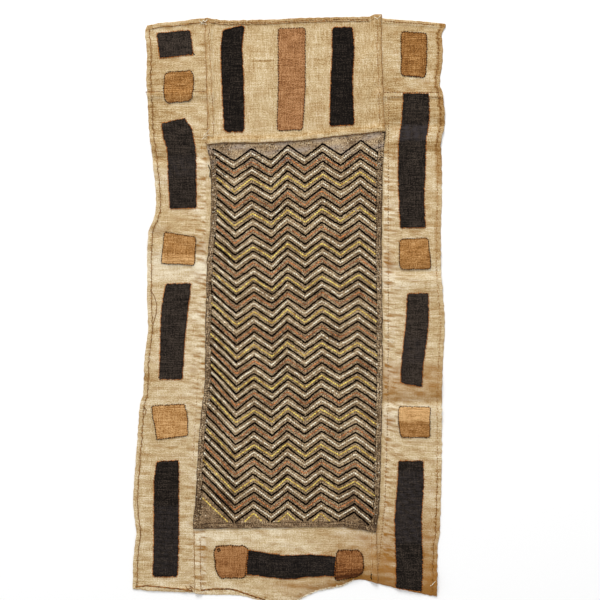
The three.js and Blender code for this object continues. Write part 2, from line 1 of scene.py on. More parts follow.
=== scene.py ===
import math
import bpy
import numpy as np
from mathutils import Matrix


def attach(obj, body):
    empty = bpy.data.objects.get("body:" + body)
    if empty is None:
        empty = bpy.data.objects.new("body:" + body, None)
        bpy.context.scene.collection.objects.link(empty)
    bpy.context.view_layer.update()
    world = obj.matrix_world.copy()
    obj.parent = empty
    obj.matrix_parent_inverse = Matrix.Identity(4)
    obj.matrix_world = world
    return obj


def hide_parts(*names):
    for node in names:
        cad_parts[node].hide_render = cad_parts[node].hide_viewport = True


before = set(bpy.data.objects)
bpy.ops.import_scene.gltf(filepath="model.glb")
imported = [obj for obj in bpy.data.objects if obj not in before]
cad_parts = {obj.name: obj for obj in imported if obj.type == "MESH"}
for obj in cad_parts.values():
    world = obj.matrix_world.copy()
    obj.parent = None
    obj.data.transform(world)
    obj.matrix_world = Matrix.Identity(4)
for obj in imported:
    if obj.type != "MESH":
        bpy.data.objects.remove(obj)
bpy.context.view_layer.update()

# Sizes are in millimetres, as on the cloth itself. Meshes are made in metres.
mm = 0.001

cloth = dict(plain=1.2, hem=2.4, stitched=2.0, stitchedHem=2.6, roll=3.6, patch=1.0)
laying = dict(air=0.3, hemWide=8.5, lap=10, stripSeam=432, reach=3)
foldSizes = dict(turnRise=5, turnReach=24, turnFrom=-20, turnFade=80, fade=24, end=3.4)

# Cross sections from the top down: y, left side, left seam, right seam, right side
sideRows = np.array([
    (584, -278, -169, 185.5, 306), (566, -285, -168, 183.5, 313.5), (548, -288.5, -168, 183.5, 305.5),
    (508, -284.5, -166.5, 184.5, 307.5), (448, -286.5, -165, 186.5, 301.5),
    (428, -284.5, -164.5, 187, 307.5), (368, -281.5, -163, 189.5, 311.5), (350, -280.5, -163, 193.5, 307),
    (327, -277, -165, 190, 303.5), (286, -272, -157.5, 187.5, 305.5), (208, -266.5, -156.5, 186, 305.5),
    (188, -268.5, -157, 185.8, 304.5), (148, -282.5, -159.5, 185.3, 303.5),
    (88, -284.5, -165, 185.3, 303.5), (28, -284.5, -166.5, 186, 307.5), (-32, -282.5, -168, 186.8, 311.5),
    (-112, -290.5, -168.5, 187, 307.5), (-172, -292.5, -171, 186.3, 305.5),
    (-192, -298.5, -174.5, 186, 305.5), (-272, -304.5, -182, 184, 305.5),
    (-392, -312.5, -188.5, 180.7, 303.5), (-432, -308.5, -192.5, 176.5, 302),
    (-452, -306.5, -190.5, 173.5, 301.5), (-472, -308.5, -189.5, 174, 297.5),
    (-512, -312.5, -189, 175.5, 296.5), (-580, -313.5, -188, 177, 295.5)])
# The cloth's top edge, the tab that stands up at the right seam, and the lower edge: x, y
topRows = [
    (-279, 566), (-266, 570), (-218, 574), (-194, 578), (-170, 580), (-122, 576), (-26, 578), (10, 580),
    (154, 583), (186, 580), (262, 574), (314, 569)]
tabRows = [(160, 583), (172, 588), (186, 588)]
bottomRows = [
    (-313.5, -562), (-278, -566), (-194, -570), (-170, -574), (-110, -575), (-86, -578), (-48, -588),
    (2, -588), (22, -582), (34, -576), (58, -566), (106, -556), (130, -545), (142, -544), (178, -552),
    (226, -564), (296, -578)]
# The rolled hem's lower edge, and the embroidered panel's lower edge: x, y
rollRows = [(-165, 327), (-118, 331), (-68, 331), (2, 334), (42, 337), (84, 343), (164, 351), (194, 354)]
footRows = [(-193, -442), (-100, -441), (102, -438), (132, -442), (175, -449)]

# Old fold lines across the side strips: side (-1 left, 1 right), y, x, lean, rise, reach
creaseRows = [
    (-1, 300, -215, 0, 3, 22), (-1, 128, -220, -0.4, 3, 24), (1, 366, 245, 0.04, 3.5, 24),
    (1, 74, 245, 0, 3, 22), (1, -188, 245, 0, 3.5, 24)]
# Broad low swells: x, y, rise, half width, half height
swellRows = [
    (150, 470, 2.2, 60, 90), (-50, 455, 1.8, 80, 85), (-80, 190, 1.4, 70, 110), (90, 60, 1.6, 85, 130),
    (-90, -150, 1.4, 75, 120), (70, -320, 1.5, 90, 90)]
# Small soft wrinkles as ridges: x, y, length, turn in degrees, rise, half width
wrinkleRows = [
    (118, -528, 44, 8, 1.2, 3.4), (112, -538, 34, 10, 1.0, 3), (-262, -430, 70, 68, 0.9, 5),
    (-236, 250, 60, -30, 0.9, 6), (262, 300, 80, 84, 0.8, 6), (150, 500, 70, 50, 1.2, 7),
    (160, 440, 60, 55, 1.0, 6), (-200, 30, 60, 75, 0.8, 5), (270, -330, 80, 86, 0.9, 5),
    (-30, -470, 90, 4, 0.8, 5), (232, -575, 50, -12, 0.9, 4), (-240, -560, 90, 2, 1.0, 4),
    (-205, -560, 34, 62, 1.4, 4), (-190, -548, 40, 80, 1.2, 4), (196, 556, 60, 88, 1.2, 5),
    (174, 566, 40, 76, 1.3, 4), (-160, 548, 50, 84, 1.0, 4), (182, 380, 60, 84, 1.2, 4),
    (-150, 352, 40, 20, 1.2, 4), (250, -520, 60, 12, 0.8, 5), (160, -480, 60, 60, 0.9, 6),
    (-286, 200, 50, 70, 0.9, 5), (-284, 130, 60, 100, 0.9, 5), (286, 440, 50, 80, 1.0, 5)]


# Curve through rows that never swings past one: cubic pieces, the slope at a row being the
# harmonic mean of the two slopes beside it, or zero where they change sign
def curve(rows, column=1):
    table = np.array(sorted(tuple(row) for row in rows), float)
    t, v = table[:, 0], table[:, column]
    run = np.diff(t)
    secant = np.diff(v) / run
    before, after = np.r_[secant[0], secant], np.r_[secant, secant[-1]]
    same = before * after > 0
    slope = np.where(same, 2 * before * after / np.where(same, before + after, 1), 0)

    def at(where):
        w = np.clip(where, t[0], t[-1])
        i = np.clip(np.searchsorted(t, w, side="right") - 1, 0, len(run) - 1)
        s = (w - t[i]) / run[i]
        hold = v[i] * (1 + 2 * s) * (1 - s) ** 2 + v[i + 1] * s * s * (3 - 2 * s)
        return hold + run[i] * (slope[i] * s * (1 - s) ** 2 - slope[i + 1] * s * s * (1 - s))
    return at


# Sum of plane waves of about one length, scaled to about -1 to 1; stretch draws them out along x
def waves(x, y, length, seed, stretch=1.0, count=9):
    chance = np.random.default_rng(seed)
    total = 0.0
    for turn, size, phase in chance.uniform((0, 0.7, 0), (2 * np.pi, 1.5, 2 * np.pi), (count, 3)):
        k = 2 * np.pi / (length * size)
        total = total + np.sin(k * (x * np.cos(turn) / stretch + y * np.sin(turn)) + phase)
    return total / np.sqrt(count)


# The same along a line only
def ripple(t, length, seed):
    return waves(t, t * 0, length, seed)


# exp(-(d / reach) ** 2)
def bell(d, reach):
    return np.exp(-(d / reach) ** 2)


# exp(-d / reach)
def fade(d, reach):
    return np.exp(-d / reach)


# exp(-((x - x0) / reachX) ** 2 - ((y - y0) / reachY) ** 2)
def spot(x, y, x0, y0, reachX, reachY):
    return np.exp(-((x - x0) / reachX) ** 2 - ((y - y0) / reachY) ** 2)


# 0 to 1 with soft ends: s * s * (3 - 2 * s)
def ramp(t):
    s = np.clip(t, 0, 1)
    return s * s * (3 - 2 * s)


# d * exp((1 - d * d) / 2): rises from 0 to 1 at distance 1, then dies out
def ridge(d):
    return np.where((d > 0) & (d < foldSizes["end"]), d * np.exp((1 - d * d) / 2), 0)


sideCurves = [curve(sideRows, k) for k in range(1, 5)]
leftEdge = lambda y: sideCurves[0](y) + 0.6 * ripple(y, 16, 21)   # a little uneven
leftSeam = lambda y: sideCurves[1](y) + 0.5 * ripple(y, 22, 22)
rightSeam = lambda y: sideCurves[2](y) + 0.5 * ripple(y, 22, 23)
rightEdge = lambda y: sideCurves[3](y) + 0.6 * ripple(y, 15, 24)
topCurve, tabCurve, bottomCurve = curve(topRows), curve(tabRows), curve(bottomRows)
topEdge = lambda x: topCurve(x) + 0.4 * ripple(x, 14, 25)
bottomEdge = lambda x: bottomCurve(x) + 0.5 * ripple(x, 12, 26)
rollEdge = lambda x: curve(rollRows)(x) + 0.5 * ripple(x, 20, 27)
footEdge = lambda x: curve(footRows)(x) + 0.4 * ripple(x, 18, 28)


# A level edge
def levelAt(y):
    return lambda x: y + x * 0


# Height of the cloth's underside on the bare surface: the turned edge's ridge, the creases'
# valleys with a ridge on each side, the swells (1 - r * r) ** 2, and the small wrinkles
def folds(x, y):
    turn = ramp((x - foldSizes["turnFrom"]) / foldSizes["turnFade"])
    height = foldSizes["turnRise"] * ridge((y - bottomCurve(x)) / foldSizes["turnReach"]) * turn
    for side, y0, x0, lean, rise, reach in creaseRows:
        out = sideCurves[1](y) - x if side < 0 else x - sideCurves[2](y)
        line = y0 + lean * (x - x0)
        height = height + rise * ridge(np.abs(y - line) / reach) * ramp(out / foldSizes["fade"])
    for x0, y0, rise, wide, tall in swellRows:
        far = np.minimum(((x - x0) / wide) ** 2 + ((y - y0) / tall) ** 2, 1)
        height = height + rise * (1 - far) ** 2
    for x0, y0, length, turned, rise, wide in wrinkleRows:
        c, s = math.cos(math.radians(turned)), math.sin(math.radians(turned))
        along, across = (x - x0) * c + (y - y0) * s, (y - y0) * c - (x - x0) * s
        bowed = across + 0.0009 * along ** 2 * wide
        height = height + rise * np.exp(-(bowed / wide) ** 2 - (2 * along / length) ** 4)
    return height


# What has been laid so far: one height for each millimetre of the floor
floorX, floorY = np.arange(-332, 333), np.arange(-606, 607)
ground = np.zeros((len(floorY), len(floorX)))


# Height at any point of a field, blended from the four values round it
def sample(field, x, y):
    fx = np.clip(x - floorX[0], 0, len(floorX) - 1.001)
    fy = np.clip(y - floorY[0], 0, len(floorY) - 1.001)
    i, j = fx.astype(int), fy.astype(int)
    u, w = fx - i, fy - j
    upper = field[j + 1, i] * (1 - u) + field[j + 1, i + 1] * u
    return (field[j, i] * (1 - u) + field[j, i + 1] * u) * (1 - w) + upper * w


# Highest value within reach, then the mean within reach, so it never falls below what lies there
def restingField(reach):
    field = ground
    for together in (np.max, np.mean):
        for axis in (0, 1):
            field = together([np.roll(field, k, axis) for k in range(-reach, reach + 1)], axis=0)
    return field


# Draws a laid grid's upper heights onto the floor's heights, the grid made finer first
def cover(x, y, top, finer):
    def fine(a):
        for turn in (0, 1):
            where = np.linspace(0, len(a) - 1, (len(a) - 1) * finer + 1)
            i = np.minimum(where.astype(int), len(a) - 2)
            s = (where - i)[:, None]
            a = (a[i] * (1 - s) + a[i + 1] * s).T
        return a
    cells = [np.rint(fine(y) - floorY[0]).astype(int), np.rint(fine(x) - floorX[0]).astype(int)]
    np.maximum.at(ground, tuple(cells), fine(top))


# A colour as it is seen, 0 to 255 in each part, made linear
def paint(red, green, blue):
    part = np.array((red, green, blue)) / 255
    part = np.where(part <= 0.04045, part / 12.92, ((part + 0.055) / 1.055) ** 2.4)
    return (*part.tolist(), 1.0)


def join(tree, value, socket):
    if isinstance(value, bpy.types.NodeSocket):
        tree.links.new(value, socket)
    else:
        socket.default_value = value


# A new node with its settings, each input given a value or joined to a socket
def newNode(tree, kind, inputs=(), **settings):
    node = tree.nodes.new(kind)
    for key, value in settings.items():
        setattr(node, key, value)
    for key, value in dict(inputs).items():
        join(tree, value, node.inputs[key])
    return node


def maths(tree, operation, *values, clamp=False):
    return newNode(tree, "ShaderNodeMath", enumerate(values), operation=operation, use_clamp=clamp).outputs[0]


def times(tree, *values):
    return maths(tree, "MULTIPLY", *values)


def mixed(tree, factor, first, second):
    return newNode(tree, "ShaderNodeMix", {0: factor, 6: first, 7: second}, data_type="RGBA").outputs[2]


# Noise on Object coordinates times a size for each axis, per metre
def noise(tree, sizes, detail=2.0, roughness=0.5):
    place = newNode(tree, "ShaderNodeTexCoord").outputs["Object"]
    scaled = newNode(tree, "ShaderNodeVectorMath", {0: place, 1: sizes}, operation="MULTIPLY").outputs[0]
    inputs = dict(Vector=scaled, Scale=1.0, Detail=detail, Roughness=roughness)
    return newNode(tree, "ShaderNodeTexNoise", inputs).outputs["Fac"]


def newGroup(name, inputs, outputs):
    tree = bpy.data.node_groups.new(name, "ShaderNodeTree")
    for socket, value in inputs:
        made = tree.interface.new_socket(socket, in_out="INPUT", socket_type="NodeSocketFloat")
        made.default_value = value
    for socket in outputs:
        tree.interface.new_socket(socket, in_out="OUTPUT", socket_type="NodeSocketFloat")
    return tree, tree.nodes.new("NodeGroupInput"), tree.nodes.new("NodeGroupOutput")


# Plain weave: warp and weft change places like a chessboard. The height is the larger of
# |sin| across the weft where it is on top and |sin| across the warp where that is on top.
def makeWeave():
    tree, given, made = newGroup("raffiaWeave", [("Threads", 800.0), ("Loose", 0.25)],
                                 ["Height", "Weft Streak", "Warp Streak", "Blotch", "Grain"])
    place = newNode(tree, "ShaderNodeTexCoord").outputs["Object"]
    parts = newNode(tree, "ShaderNodeSeparateXYZ", {0: place}).outputs
    wander = maths(tree, "SUBTRACT", noise(tree, (90, 90, 90)), 0.5)
    drift = times(tree, wander, given.outputs["Loose"])
    turns = times(tree, given.outputs["Threads"], math.pi)
    along = [maths(tree, "ADD", times(tree, parts[k], turns), times(tree, drift, 14.0 + 6 * k))
             for k in (0, 1)]
    sines = [maths(tree, "SINE", part) for part in along]
    over = times(tree, times(tree, *sines), 0.5)
    warp = times(tree, maths(tree, "ABSOLUTE", sines[0]), maths(tree, "SUBTRACT", 0.5, over))
    weft = times(tree, maths(tree, "ABSOLUTE", sines[1]), maths(tree, "ADD", 0.5, over))
    join(tree, maths(tree, "MAXIMUM", warp, weft), made.inputs["Height"])
    for output, sizes, detail, roughness in (
            ("Weft Streak", (26, 470, 1), 3.0, 0.68), ("Warp Streak", (470, 34, 1), 3.0, 0.68),
            ("Blotch", (46, 80, 1), 4.0, 0.6), ("Grain", (430, 520, 1), 2.0, 0.6)):
        join(tree, noise(tree, sizes, detail, roughness), made.inputs[output])
    return tree


# Fibres of a twisted thread: fine noise drawn out along no one way, and its own speckle
def makeFibre():
    tree, given, made = newGroup("threadFibre", [], ["Height", "Speckle"])
    join(tree, noise(tree, (1400, 1400, 1400), 2.0, 0.6), made.inputs["Height"])
    join(tree, noise(tree, (300, 300, 300), 2.0, 0.5), made.inputs["Speckle"])
    return tree


weaveGroup, fibreGroup = makeWeave(), makeFibre()


def placed(tree, group, **values):
    return newNode(tree, "ShaderNodeGroup", values, node_tree=group).outputs


def attribute(tree, name):
    return newNode(tree, "ShaderNodeAttribute", attribute_name=name).outputs["Fac"]


def ramped(tree, factor, stops):
    node = newNode(tree, "ShaderNodeValToRGB", {0: factor})
    points = node.color_ramp.elements
    for k, (place, colour) in enumerate(stops):
        point = points[k] if k < 2 else points.new(place)
        point.position, point.color = place, paint(*colour)
    return node.outputs["Color"]


def bumped(tree, shader, height, strength, distance):
    node = newNode(tree, "ShaderNodeBump", dict(Strength=strength, Distance=distance, Height=height))
    join(tree, node.outputs["Normal"], shader.inputs["Normal"])


# A material's tree and shader, with the plain values its shader starts from
def newMaterial(name, **values):
    material = bpy.data.materials.new(name)
    material.use_nodes = True
    shader = material.node_tree.nodes["Principled BSDF"]
    for key, value in values.items():
        shader.inputs[key].default_value = value
    return material, material.node_tree, shader


# Cloth: a ramp of colours read at the middle, plus the streaks and blotches, plus the piece's own tone
# attribute, which holds painted shade and highlights as well as tone; then mixed towards the look's stain
# colour by its stain attribute: real stains, the warm painted shade of wrinkles, and a painted grey sheen on
# black cloth
def clothMaterial(name, look):
    material, tree, shader = newMaterial(name, **{
        "Specular IOR Level": look["gloss"], "Sheen Weight": look["sheen"], "Sheen Roughness": 0.5})
    weave = placed(tree, weaveGroup, Threads=look["threads"], Loose=look["loose"])
    level = attribute(tree, "tone")
    for output, share in (("Weft Streak", look["weft"]), ("Warp Streak", look["warp"]),
                          ("Blotch", look["blotch"]), ("Grain", look["grain"])):
        part = times(tree, maths(tree, "SUBTRACT", weave[output], 0.5), share)
        level = maths(tree, "ADD", level, part)
    knot = times(tree, maths(tree, "SUBTRACT", weave["Height"], 0.35), look["thread"])
    colour = ramped(tree, maths(tree, "ADD", level, knot, clamp=True), look["colours"])
    colour = mixed(tree, attribute(tree, "stain"), colour, paint(*look["stain"]))
    join(tree, colour, shader.inputs["Base Color"])
    rough = times(tree, weave["Weft Streak"], -0.25)
    join(tree, maths(tree, "ADD", rough, look["rough"], clamp=True), shader.inputs["Roughness"])
    grain = maths(tree, "ADD", weave["Height"], times(tree, weave["Weft Streak"], look["slub"]))
    bumped(tree, shader, grain, look["bump"], 0.0005)
    return material


# Thread: its colour goes from dark to light with each stitch's own "shade" attribute and speckle
def threadMaterial(name, dark, light, bump, gloss):
    material, tree, shader = newMaterial(name, **{"Specular IOR Level": gloss})
    fibre = placed(tree, fibreGroup)
    speckle = maths(tree, "SUBTRACT", fibre["Speckle"], 0.5)
    level = maths(tree, "ADD", attribute(tree, "shade"), speckle, clamp=True)
    join(tree, ramped(tree, level, [(0.0, dark), (1.0, light)]), shader.inputs["Base Color"])
    rough = times(tree, fibre["Speckle"], 0.3)
    join(tree, maths(tree, "ADD", rough, 0.65), shader.inputs["Roughness"])
    bumped(tree, shader, fibre["Height"], bump, 0.0003)
    return material


plainLook = dict(
    threads=720.0, loose=0.25, weft=0.95, warp=0.45, blotch=0.4, grain=1.3, thread=0.18, rough=0.95,
    gloss=0.2, sheen=0.02, slub=1.2, bump=0.7, stain=(147, 94, 18), colours=[
        (0.0, (96, 62, 26)), (1.0, (243, 231, 205)), (0.28, (158, 122, 70)), (0.6, (205, 180, 136))])
raffiaPlain = clothMaterial("raffiaPlain", plainLook)
raffiaTop = clothMaterial("raffiaTop", dict(plainLook, weft=0.7, warp=0.8, blotch=0.25, slub=0.8))
raffiaGround = clothMaterial("raffiaGround", dict(
    plainLook, weft=1.0, warp=0.9, blotch=0.7, grain=2.2, thread=0.5, stain=(160, 148, 140), colours=[
        (0.0, (44, 30, 20)), (1.0, (222, 200, 164)), (0.35, (118, 92, 64)), (0.65, (164, 136, 100))]))
# The black cloth's stain colour is the grey of its painted sheen
blackLook = dict(threads=720.0, loose=0.2, weft=1.5, warp=1.1, blotch=0.4, grain=2.4, thread=0.5, rough=1.0,
                 gloss=0.05, sheen=0.0, slub=0.5, bump=0.5, stain=(59, 54, 55), colours=[
                     (0.0, (9, 7, 6)), (1.0, (72, 62, 54)), (0.5, (22, 18, 15)), (0.75, (39, 33, 28))])
clothBlack = clothMaterial("clothBlack", blackLook)
tanLook = dict(
    blackLook, gloss=0.1, weft=1.1, warp=0.7, blotch=0.4, grain=1.6, thread=0.4, stain=(96, 54, 20), colours=[
        (0.0, (84, 48, 18)), (1.0, (222, 180, 126)), (0.3, (122, 77, 32)), (0.5, (160, 112, 58)),
        (0.6, (176, 128, 74))])
clothTan = clothMaterial("clothTan", tanLook)
clothRust = clothMaterial("clothRust", dict(tanLook, grain=2.6, warp=1.0, colours=[
    (0.0, (84, 48, 24)), (1.0, (196, 148, 104)), (0.5, (148, 100, 58)), (0.3, (122, 76, 42))]))
clothBrown = clothMaterial("clothBrown", dict(tanLook, grain=1.7, warp=1.2, colours=[
    (0.0, (66, 34, 14)), (1.0, (186, 138, 90)), (0.5, (140, 91, 49)), (0.3, (104, 58, 24))]))
# Threads: dark, light, how rough they stand out, gloss
threadLooks = dict(
    black=((6, 4, 3), (20, 15, 12), 0.3, 0.0), outline=((26, 13, 12), (66, 41, 34), 0.2, 0.02),
    brown=((16, 9, 5), (66, 44, 27), 0.3, 0.02), pale=((186, 163, 126), (255, 248, 226), 0.2, 0.15),
    rust=((112, 58, 26), (218, 140, 82), 0.2, 0.15), yellow=((174, 128, 46), (255, 232, 126), 0.25, 0.15),
    seam=((98, 62, 28), (156, 110, 62), 0.15, 0.02), faint=((132, 92, 50), (186, 144, 94), 0.15, 0.02),
    cord=((90, 55, 25), (156, 108, 58), 0.15, 0.02), halo=((112, 54, 18), (206, 124, 54), 0.2, 0.03))
thread = {key: threadMaterial("thread" + key.capitalize(), *look) for key, look in threadLooks.items()}
print("materials made")


def placeObject(name, data):
    made = bpy.data.objects.new(name, data)
    bpy.context.scene.collection.objects.link(made)
    return made


# Puts points and faces of one size into a mesh; faces are counter-clockwise from outside
def addPiece(name, points, faces, material, slot, **attributes):
    mesh = bpy.data.meshes.new(name)
    corners = faces.shape[1]
    mesh.vertices.add(len(points))
    mesh.vertices.foreach_set("co", (points * mm).ravel())
    mesh.loops.add(faces.size)
    mesh.loops.foreach_set("vertex_index", faces.ravel().astype(np.int32))
    mesh.polygons.add(len(faces))
    mesh.polygons.foreach_set("loop_start", np.arange(0, faces.size, corners, dtype=np.int32))
    mesh.polygons.foreach_set("use_smooth", np.ones(len(faces), bool))
    for key, values in attributes.items():
        layer = mesh.attributes.new(key, "FLOAT", "POINT")
        layer.data.foreach_set("value", np.asarray(values, np.float32).ravel())
    mesh.materials.append(material)
    mesh.update(calc_edges=True)
    mesh.validate()
    piece = placeObject(name, mesh)
    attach(piece, "root")
    return piece


rimInsets = (0, 0.12, 0.4, 0.85, 1.5, 2.3)
# What a sheet has unless its own dictionary says otherwise; step is the size of a face
sheetDefaults = dict(step=3.4, corner=0, hems={}, gather=0.25, stain=lambda x, y, far: x * 0)
# A hem's slope, the reach and depth of its line of stitches, and soft lifts: near hems, all over,
# and along the long seams below a height
relief = dict(slope=2.2, groove=1.1, deep=0.45, hem=0.8, hemReach=9, crumple=0.28, pleat=0.4, pleatTop=350,
              pleatFade=60, edge=3)


# Rows or columns between two edges: insets near each, then even shares of what is left.
# A place is (low + first) * (1 - share) + (high - last) * share + offset.
def places(length, first, last, step):
    count = max(2, int(round((length - first[-1] - last[-1]) / step)))
    inner = np.arange(1, count) / count
    share = np.r_[np.zeros(len(first)), inner, np.ones(len(last))]
    offset = np.r_[first - first[-1], inner * 0, (last[-1] - last)[::-1]]
    inset = np.r_[first, inner * 0 + 99, last[::-1]]
    return share, offset, inset, first[-1], last[-1]


# Insets beside one edge of a sheet: the rim's, then those of its hem and of its round corner
def insets(shape, side):
    wide, corner = shape["hems"].get(side, [0])[0], shape["corner"]
    marks = (0.5 * wide, wide - 1.2, wide, wide + 1.2, wide + 2.6, corner * 0.7, corner)
    return np.array(sorted([*rimInsets, *(mark for mark in marks if mark > 3)]))


# The distance to the nearest of the edges named
def nearest(far, *sides):
    return np.minimum.reduce([far[side] for side in sides])


# 1 beside the two long seams, dying out in the strips on either side
def seamPull(x, reach=16):
    away = np.minimum(np.maximum(-168 - x, x - 190), 99)
    return np.where(away > 0, fade(away, reach), 0)


# The grid of a sheet between its four edges, and how far each point is from each of them: x runs
# from left(y) to right(y) and y from top(x) to bottom(x), worked out together in a few turns
def layGrid(shape):
    left, right, top, bottom = [shape[side] for side in ("left", "right", "top", "bottom")]
    at, corner, step = shape["at"], shape["corner"], shape["step"]
    midX = (left(at) + right(at)) / 2
    wide, tall = float(right(at) - left(at)), float(top(midX) - bottom(midX))
    p, o, _, startX, endX = places(wide, insets(shape, "left"), insets(shape, "right"), step)
    q, oY, inset, startY, endY = places(tall, insets(shape, "top"), insets(shape, "bottom"), step)
    arc = corner - np.sqrt(np.maximum(corner ** 2 - (corner - inset) ** 2, 0))
    cut, q, oY = np.where(inset < corner, arc, 0)[:, None], q[:, None], oY[:, None]
    x, y = np.full((len(q), len(p)), float(midX)), np.full((len(q), len(p)), float(at))
    for turn in range(5):
        low, high = left(y) + cut, right(y) - cut
        x = (low + startX) * (1 - p) + (high - endX) * p + o
        y = (top(x) - startY) * (1 - q) + (bottom(x) + endY) * q - oY
    return x, y, {"left": x - low, "right": high - x, "top": top(x) - y, "bottom": y - bottom(x)}


# How thick a sheet is, the groove of its hems' stitches, and the rim's round
# sqrt(1 - (1 - d / r) ** 2). A hem is thicker for its width.
def thickness(shape, far):
    thin = shape["cloth"]
    thick, groove, rounding = np.full(far["left"].shape, float(thin)), 0, np.ones(far["left"].shape)
    for side, (hemWide, hemThick, stitchedAt) in shape["hems"].items():
        plateau = 1 - ramp((far[side] - hemWide) / relief["slope"])
        thick = np.maximum(thick, thin + (hemThick - thin) * plateau)
        if stitchedAt:
            groove = groove + bell(far[side] - stitchedAt, relief["groove"])
    for away in far.values():
        part = np.clip(away / (0.9 * thin + 0.35), 0, 1)
        rounding = np.minimum(rounding, np.sqrt(np.maximum(1 - (1 - part) ** 2, 0)))
    rounding[[0, -1], :] = rounding[:, [0, -1]] = 0
    return thick, groove, rounding


# Faces of a closed shell over a grid: the upper side, and the lower side joined to it at the rim
def shellFaces(rows, columns):
    above = np.arange(rows * columns).reshape(rows, columns)
    below = above.copy()
    below[1:-1, 1:-1] = rows * columns + np.arange((rows - 2) * (columns - 2)).reshape(rows - 2, columns - 2)
    flip = [(0, 0), (1, 0), (1, 1), (0, 1)]
    return np.concatenate([
        np.stack([grid[r:rows - 1 + r, c:columns - 1 + c].ravel() for r, c in order], 1)
        for grid, order in ((above, flip), (below, flip[::-1]))])


# A sheet resting on the folds or on what has been laid before, as a closed shell
def laySheet(name, shape, material, slot):
    shape = {**sheetDefaults, **shape}
    x, y, far = layGrid(shape)
    thick, groove, rounding = thickness(shape, far)
    rest = sample(restingField(laying["reach"]), x, y)
    under = np.maximum(folds(x, y), rest + laying["air"] * np.clip(rest / 0.5, 0, 1))
    nearHem = sum(fade(far[side], relief["hemReach"]) for side in shape["hems"])
    crumple = 0.5 + 0.5 * waves(x, y, 30, shape["seed"], 1.2)
    lift = shape["gather"] * nearHem * (1 + waves(x, y, 8, shape["seed"] + 1)) * relief["hem"]
    lift = lift + relief["crumple"] * crumple
    low = ramp((relief["pleatTop"] - y) / relief["pleatFade"])
    lift = lift + relief["pleat"] * seamPull(x) * low * (1 + waves(x, y, 7, shape["seed"] + 2, 4.0))
    lift = np.clip(lift, 0, None) * np.clip(nearest(far, *far) / relief["edge"], 0, 1)
    upper = under + thick * (0.5 + 0.5 * rounding) + (lift - relief["deep"] * groove) * rounding
    lower = under + thick * (0.5 - 0.5 * rounding)
    inside = (slice(1, -1), slice(1, -1))
    points = np.concatenate([np.stack([x, y, upper], -1).reshape(-1, 3),
                             np.stack([x[inside], y[inside], lower[inside]], -1).reshape(-1, 3)])
    tone, stain = [np.r_[layer.ravel(), layer[inside].ravel()]
                   for layer in (shape["tone"](x, y, far), shape["stain"](x, y, far))]
    piece = addPiece(name, points, shellFaces(*x.shape), material, slot, tone=tone, stain=stain)
    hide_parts(shape["node"])
    cover(x, y, upper, max(3, int(shape["step"] / 0.6)))
    dx, dy = np.diff(x, axis=1)[:-1] * mm, np.diff(y, axis=0)[:, :-1] * mm
    area = float(np.abs(dx * dy).sum())
    flat = (float(np.ptp(x)) * mm, float(np.ptp(y)) * mm)
    return dict(piece=piece, x=x, y=y, flat=flat, area=min(area, flat[0] * flat[1]), rests=shape["rests"])


# How light each cloth is, 0 to 1, and how strong the stains and the warm painted shade in the wrinkles are on
# the plain raffia
lightness = dict(raffia=0.54, ground=0.47, top=0.52)
stains = dict(corner=0.95, golden=0.42, wrinkleShade=0.75, mottle=0.2, lowEdge=0.4, topHem=0.18, rightHem=0.22)


# Soft bands across the strips, each from high to low, fading at its ends
def banded(y, bands):
    level = 0
    for high, low, fade, amount in bands:
        level = level + amount * ramp((high - y) / fade + 0.5) * ramp((y - low) / fade + 0.5)
    return level


stripBands = {
    "left": [(590, 540, 30, 0.03), (530, 425, 16, -0.07), (430, 330, 30, -0.05), (330, 296, 14, -0.12),
        (296, 240, 14, 0.08), (112, 52, 16, 0.12), (94, 58, 12, 0.1), (40, -130, 40, 0.05),
        (-186, -206, 6, 0.06)],
    "right": [(560, 430, 20, -0.03), (422, 365, 4, -0.14), (364, 334, 3, 0.01), (333, 312, 5, -0.13),
        (80, 40, 8, 0.1), (-100, -150, 30, 0.03), (-152, -188, 8, -0.05), (-188, -222, 8, 0.14),
        (-230, -300, 30, 0.03)], "bottom": [(-438, -482, 12, 0.09), (-552, -590, 8, 0.08)]}
# Old sharp fold lines across the cloth, each painted as a line of shade with a painted highlight just beside
# it: y, x from, x to, how dark
foldShadeRows = [
    (456.6, -286, -168, 0.12), (497, -92, -22, 0.3), (497, 32, 86, 0.08), (434, -160, -20, -0.1),
    (366, 190, 306, 0.1), (334, 190, 306, 0.12), (74, 190, 306, 0.08), (-188, 190, 306, 0.16),
    (300, -276, -160, 0.08), (128, -284, -160, 0.08), (-388, 176, 304, 0.06), (-330, -312, -186, 0.05)]


# Painted shade along each fold line, and a painted highlight 3 mm beside it towards the top
def paintedFoldShade(x, y):
    level = 0
    for y0, x0, x1, dark in foldShadeRows:
        line = y0 + 1.2 * ripple(x, 60, int(900 + y0 % 50))
        inside = ramp((x - x0) / 12) * ramp((x1 - x) / 12)
        beside = 0.6 * bell(y - line - 3, 2.4)
        level = level + dark * inside * (beside - bell(y - line, 2))
    return level


# Stains and pale places: x, y, reach along x and along y, how warm, how dark
cloudRows = [
    (8, -556, 46, 12, 0.44, 0.03), (-178, 126, 15, 18, 0.42, 0.03), (200, -224, 8, 12, 0.46, -0.02),
    (200, 92, 9, 26, 0.48, -0.02), (-168, -486, 12, 26, 0.36, 0.02), (-262, 154, 22, 8, 0.38, 0.02),
    (284, -364, 14, 12, 0.22, 0), (-164, 294, 6, 14, 0.25, 0), (-192, -126, 10, 14, 0.22, 0),
    (270, 446, 26, 12, 0.12, 0.09), (-92, -462, 16, 16, 0, -0.12), (-52, -448, 24, 12, 0, -0.1),
    (-220, -560, 16, 8, 0, -0.09), (-66, -546, 30, 8, 0, -0.08),
    (-290, -224, 8, 20, 0, -0.08), (144, 572, 26, 8, 0, -0.12), (172, 518, 10, 20, 0, -0.06)]


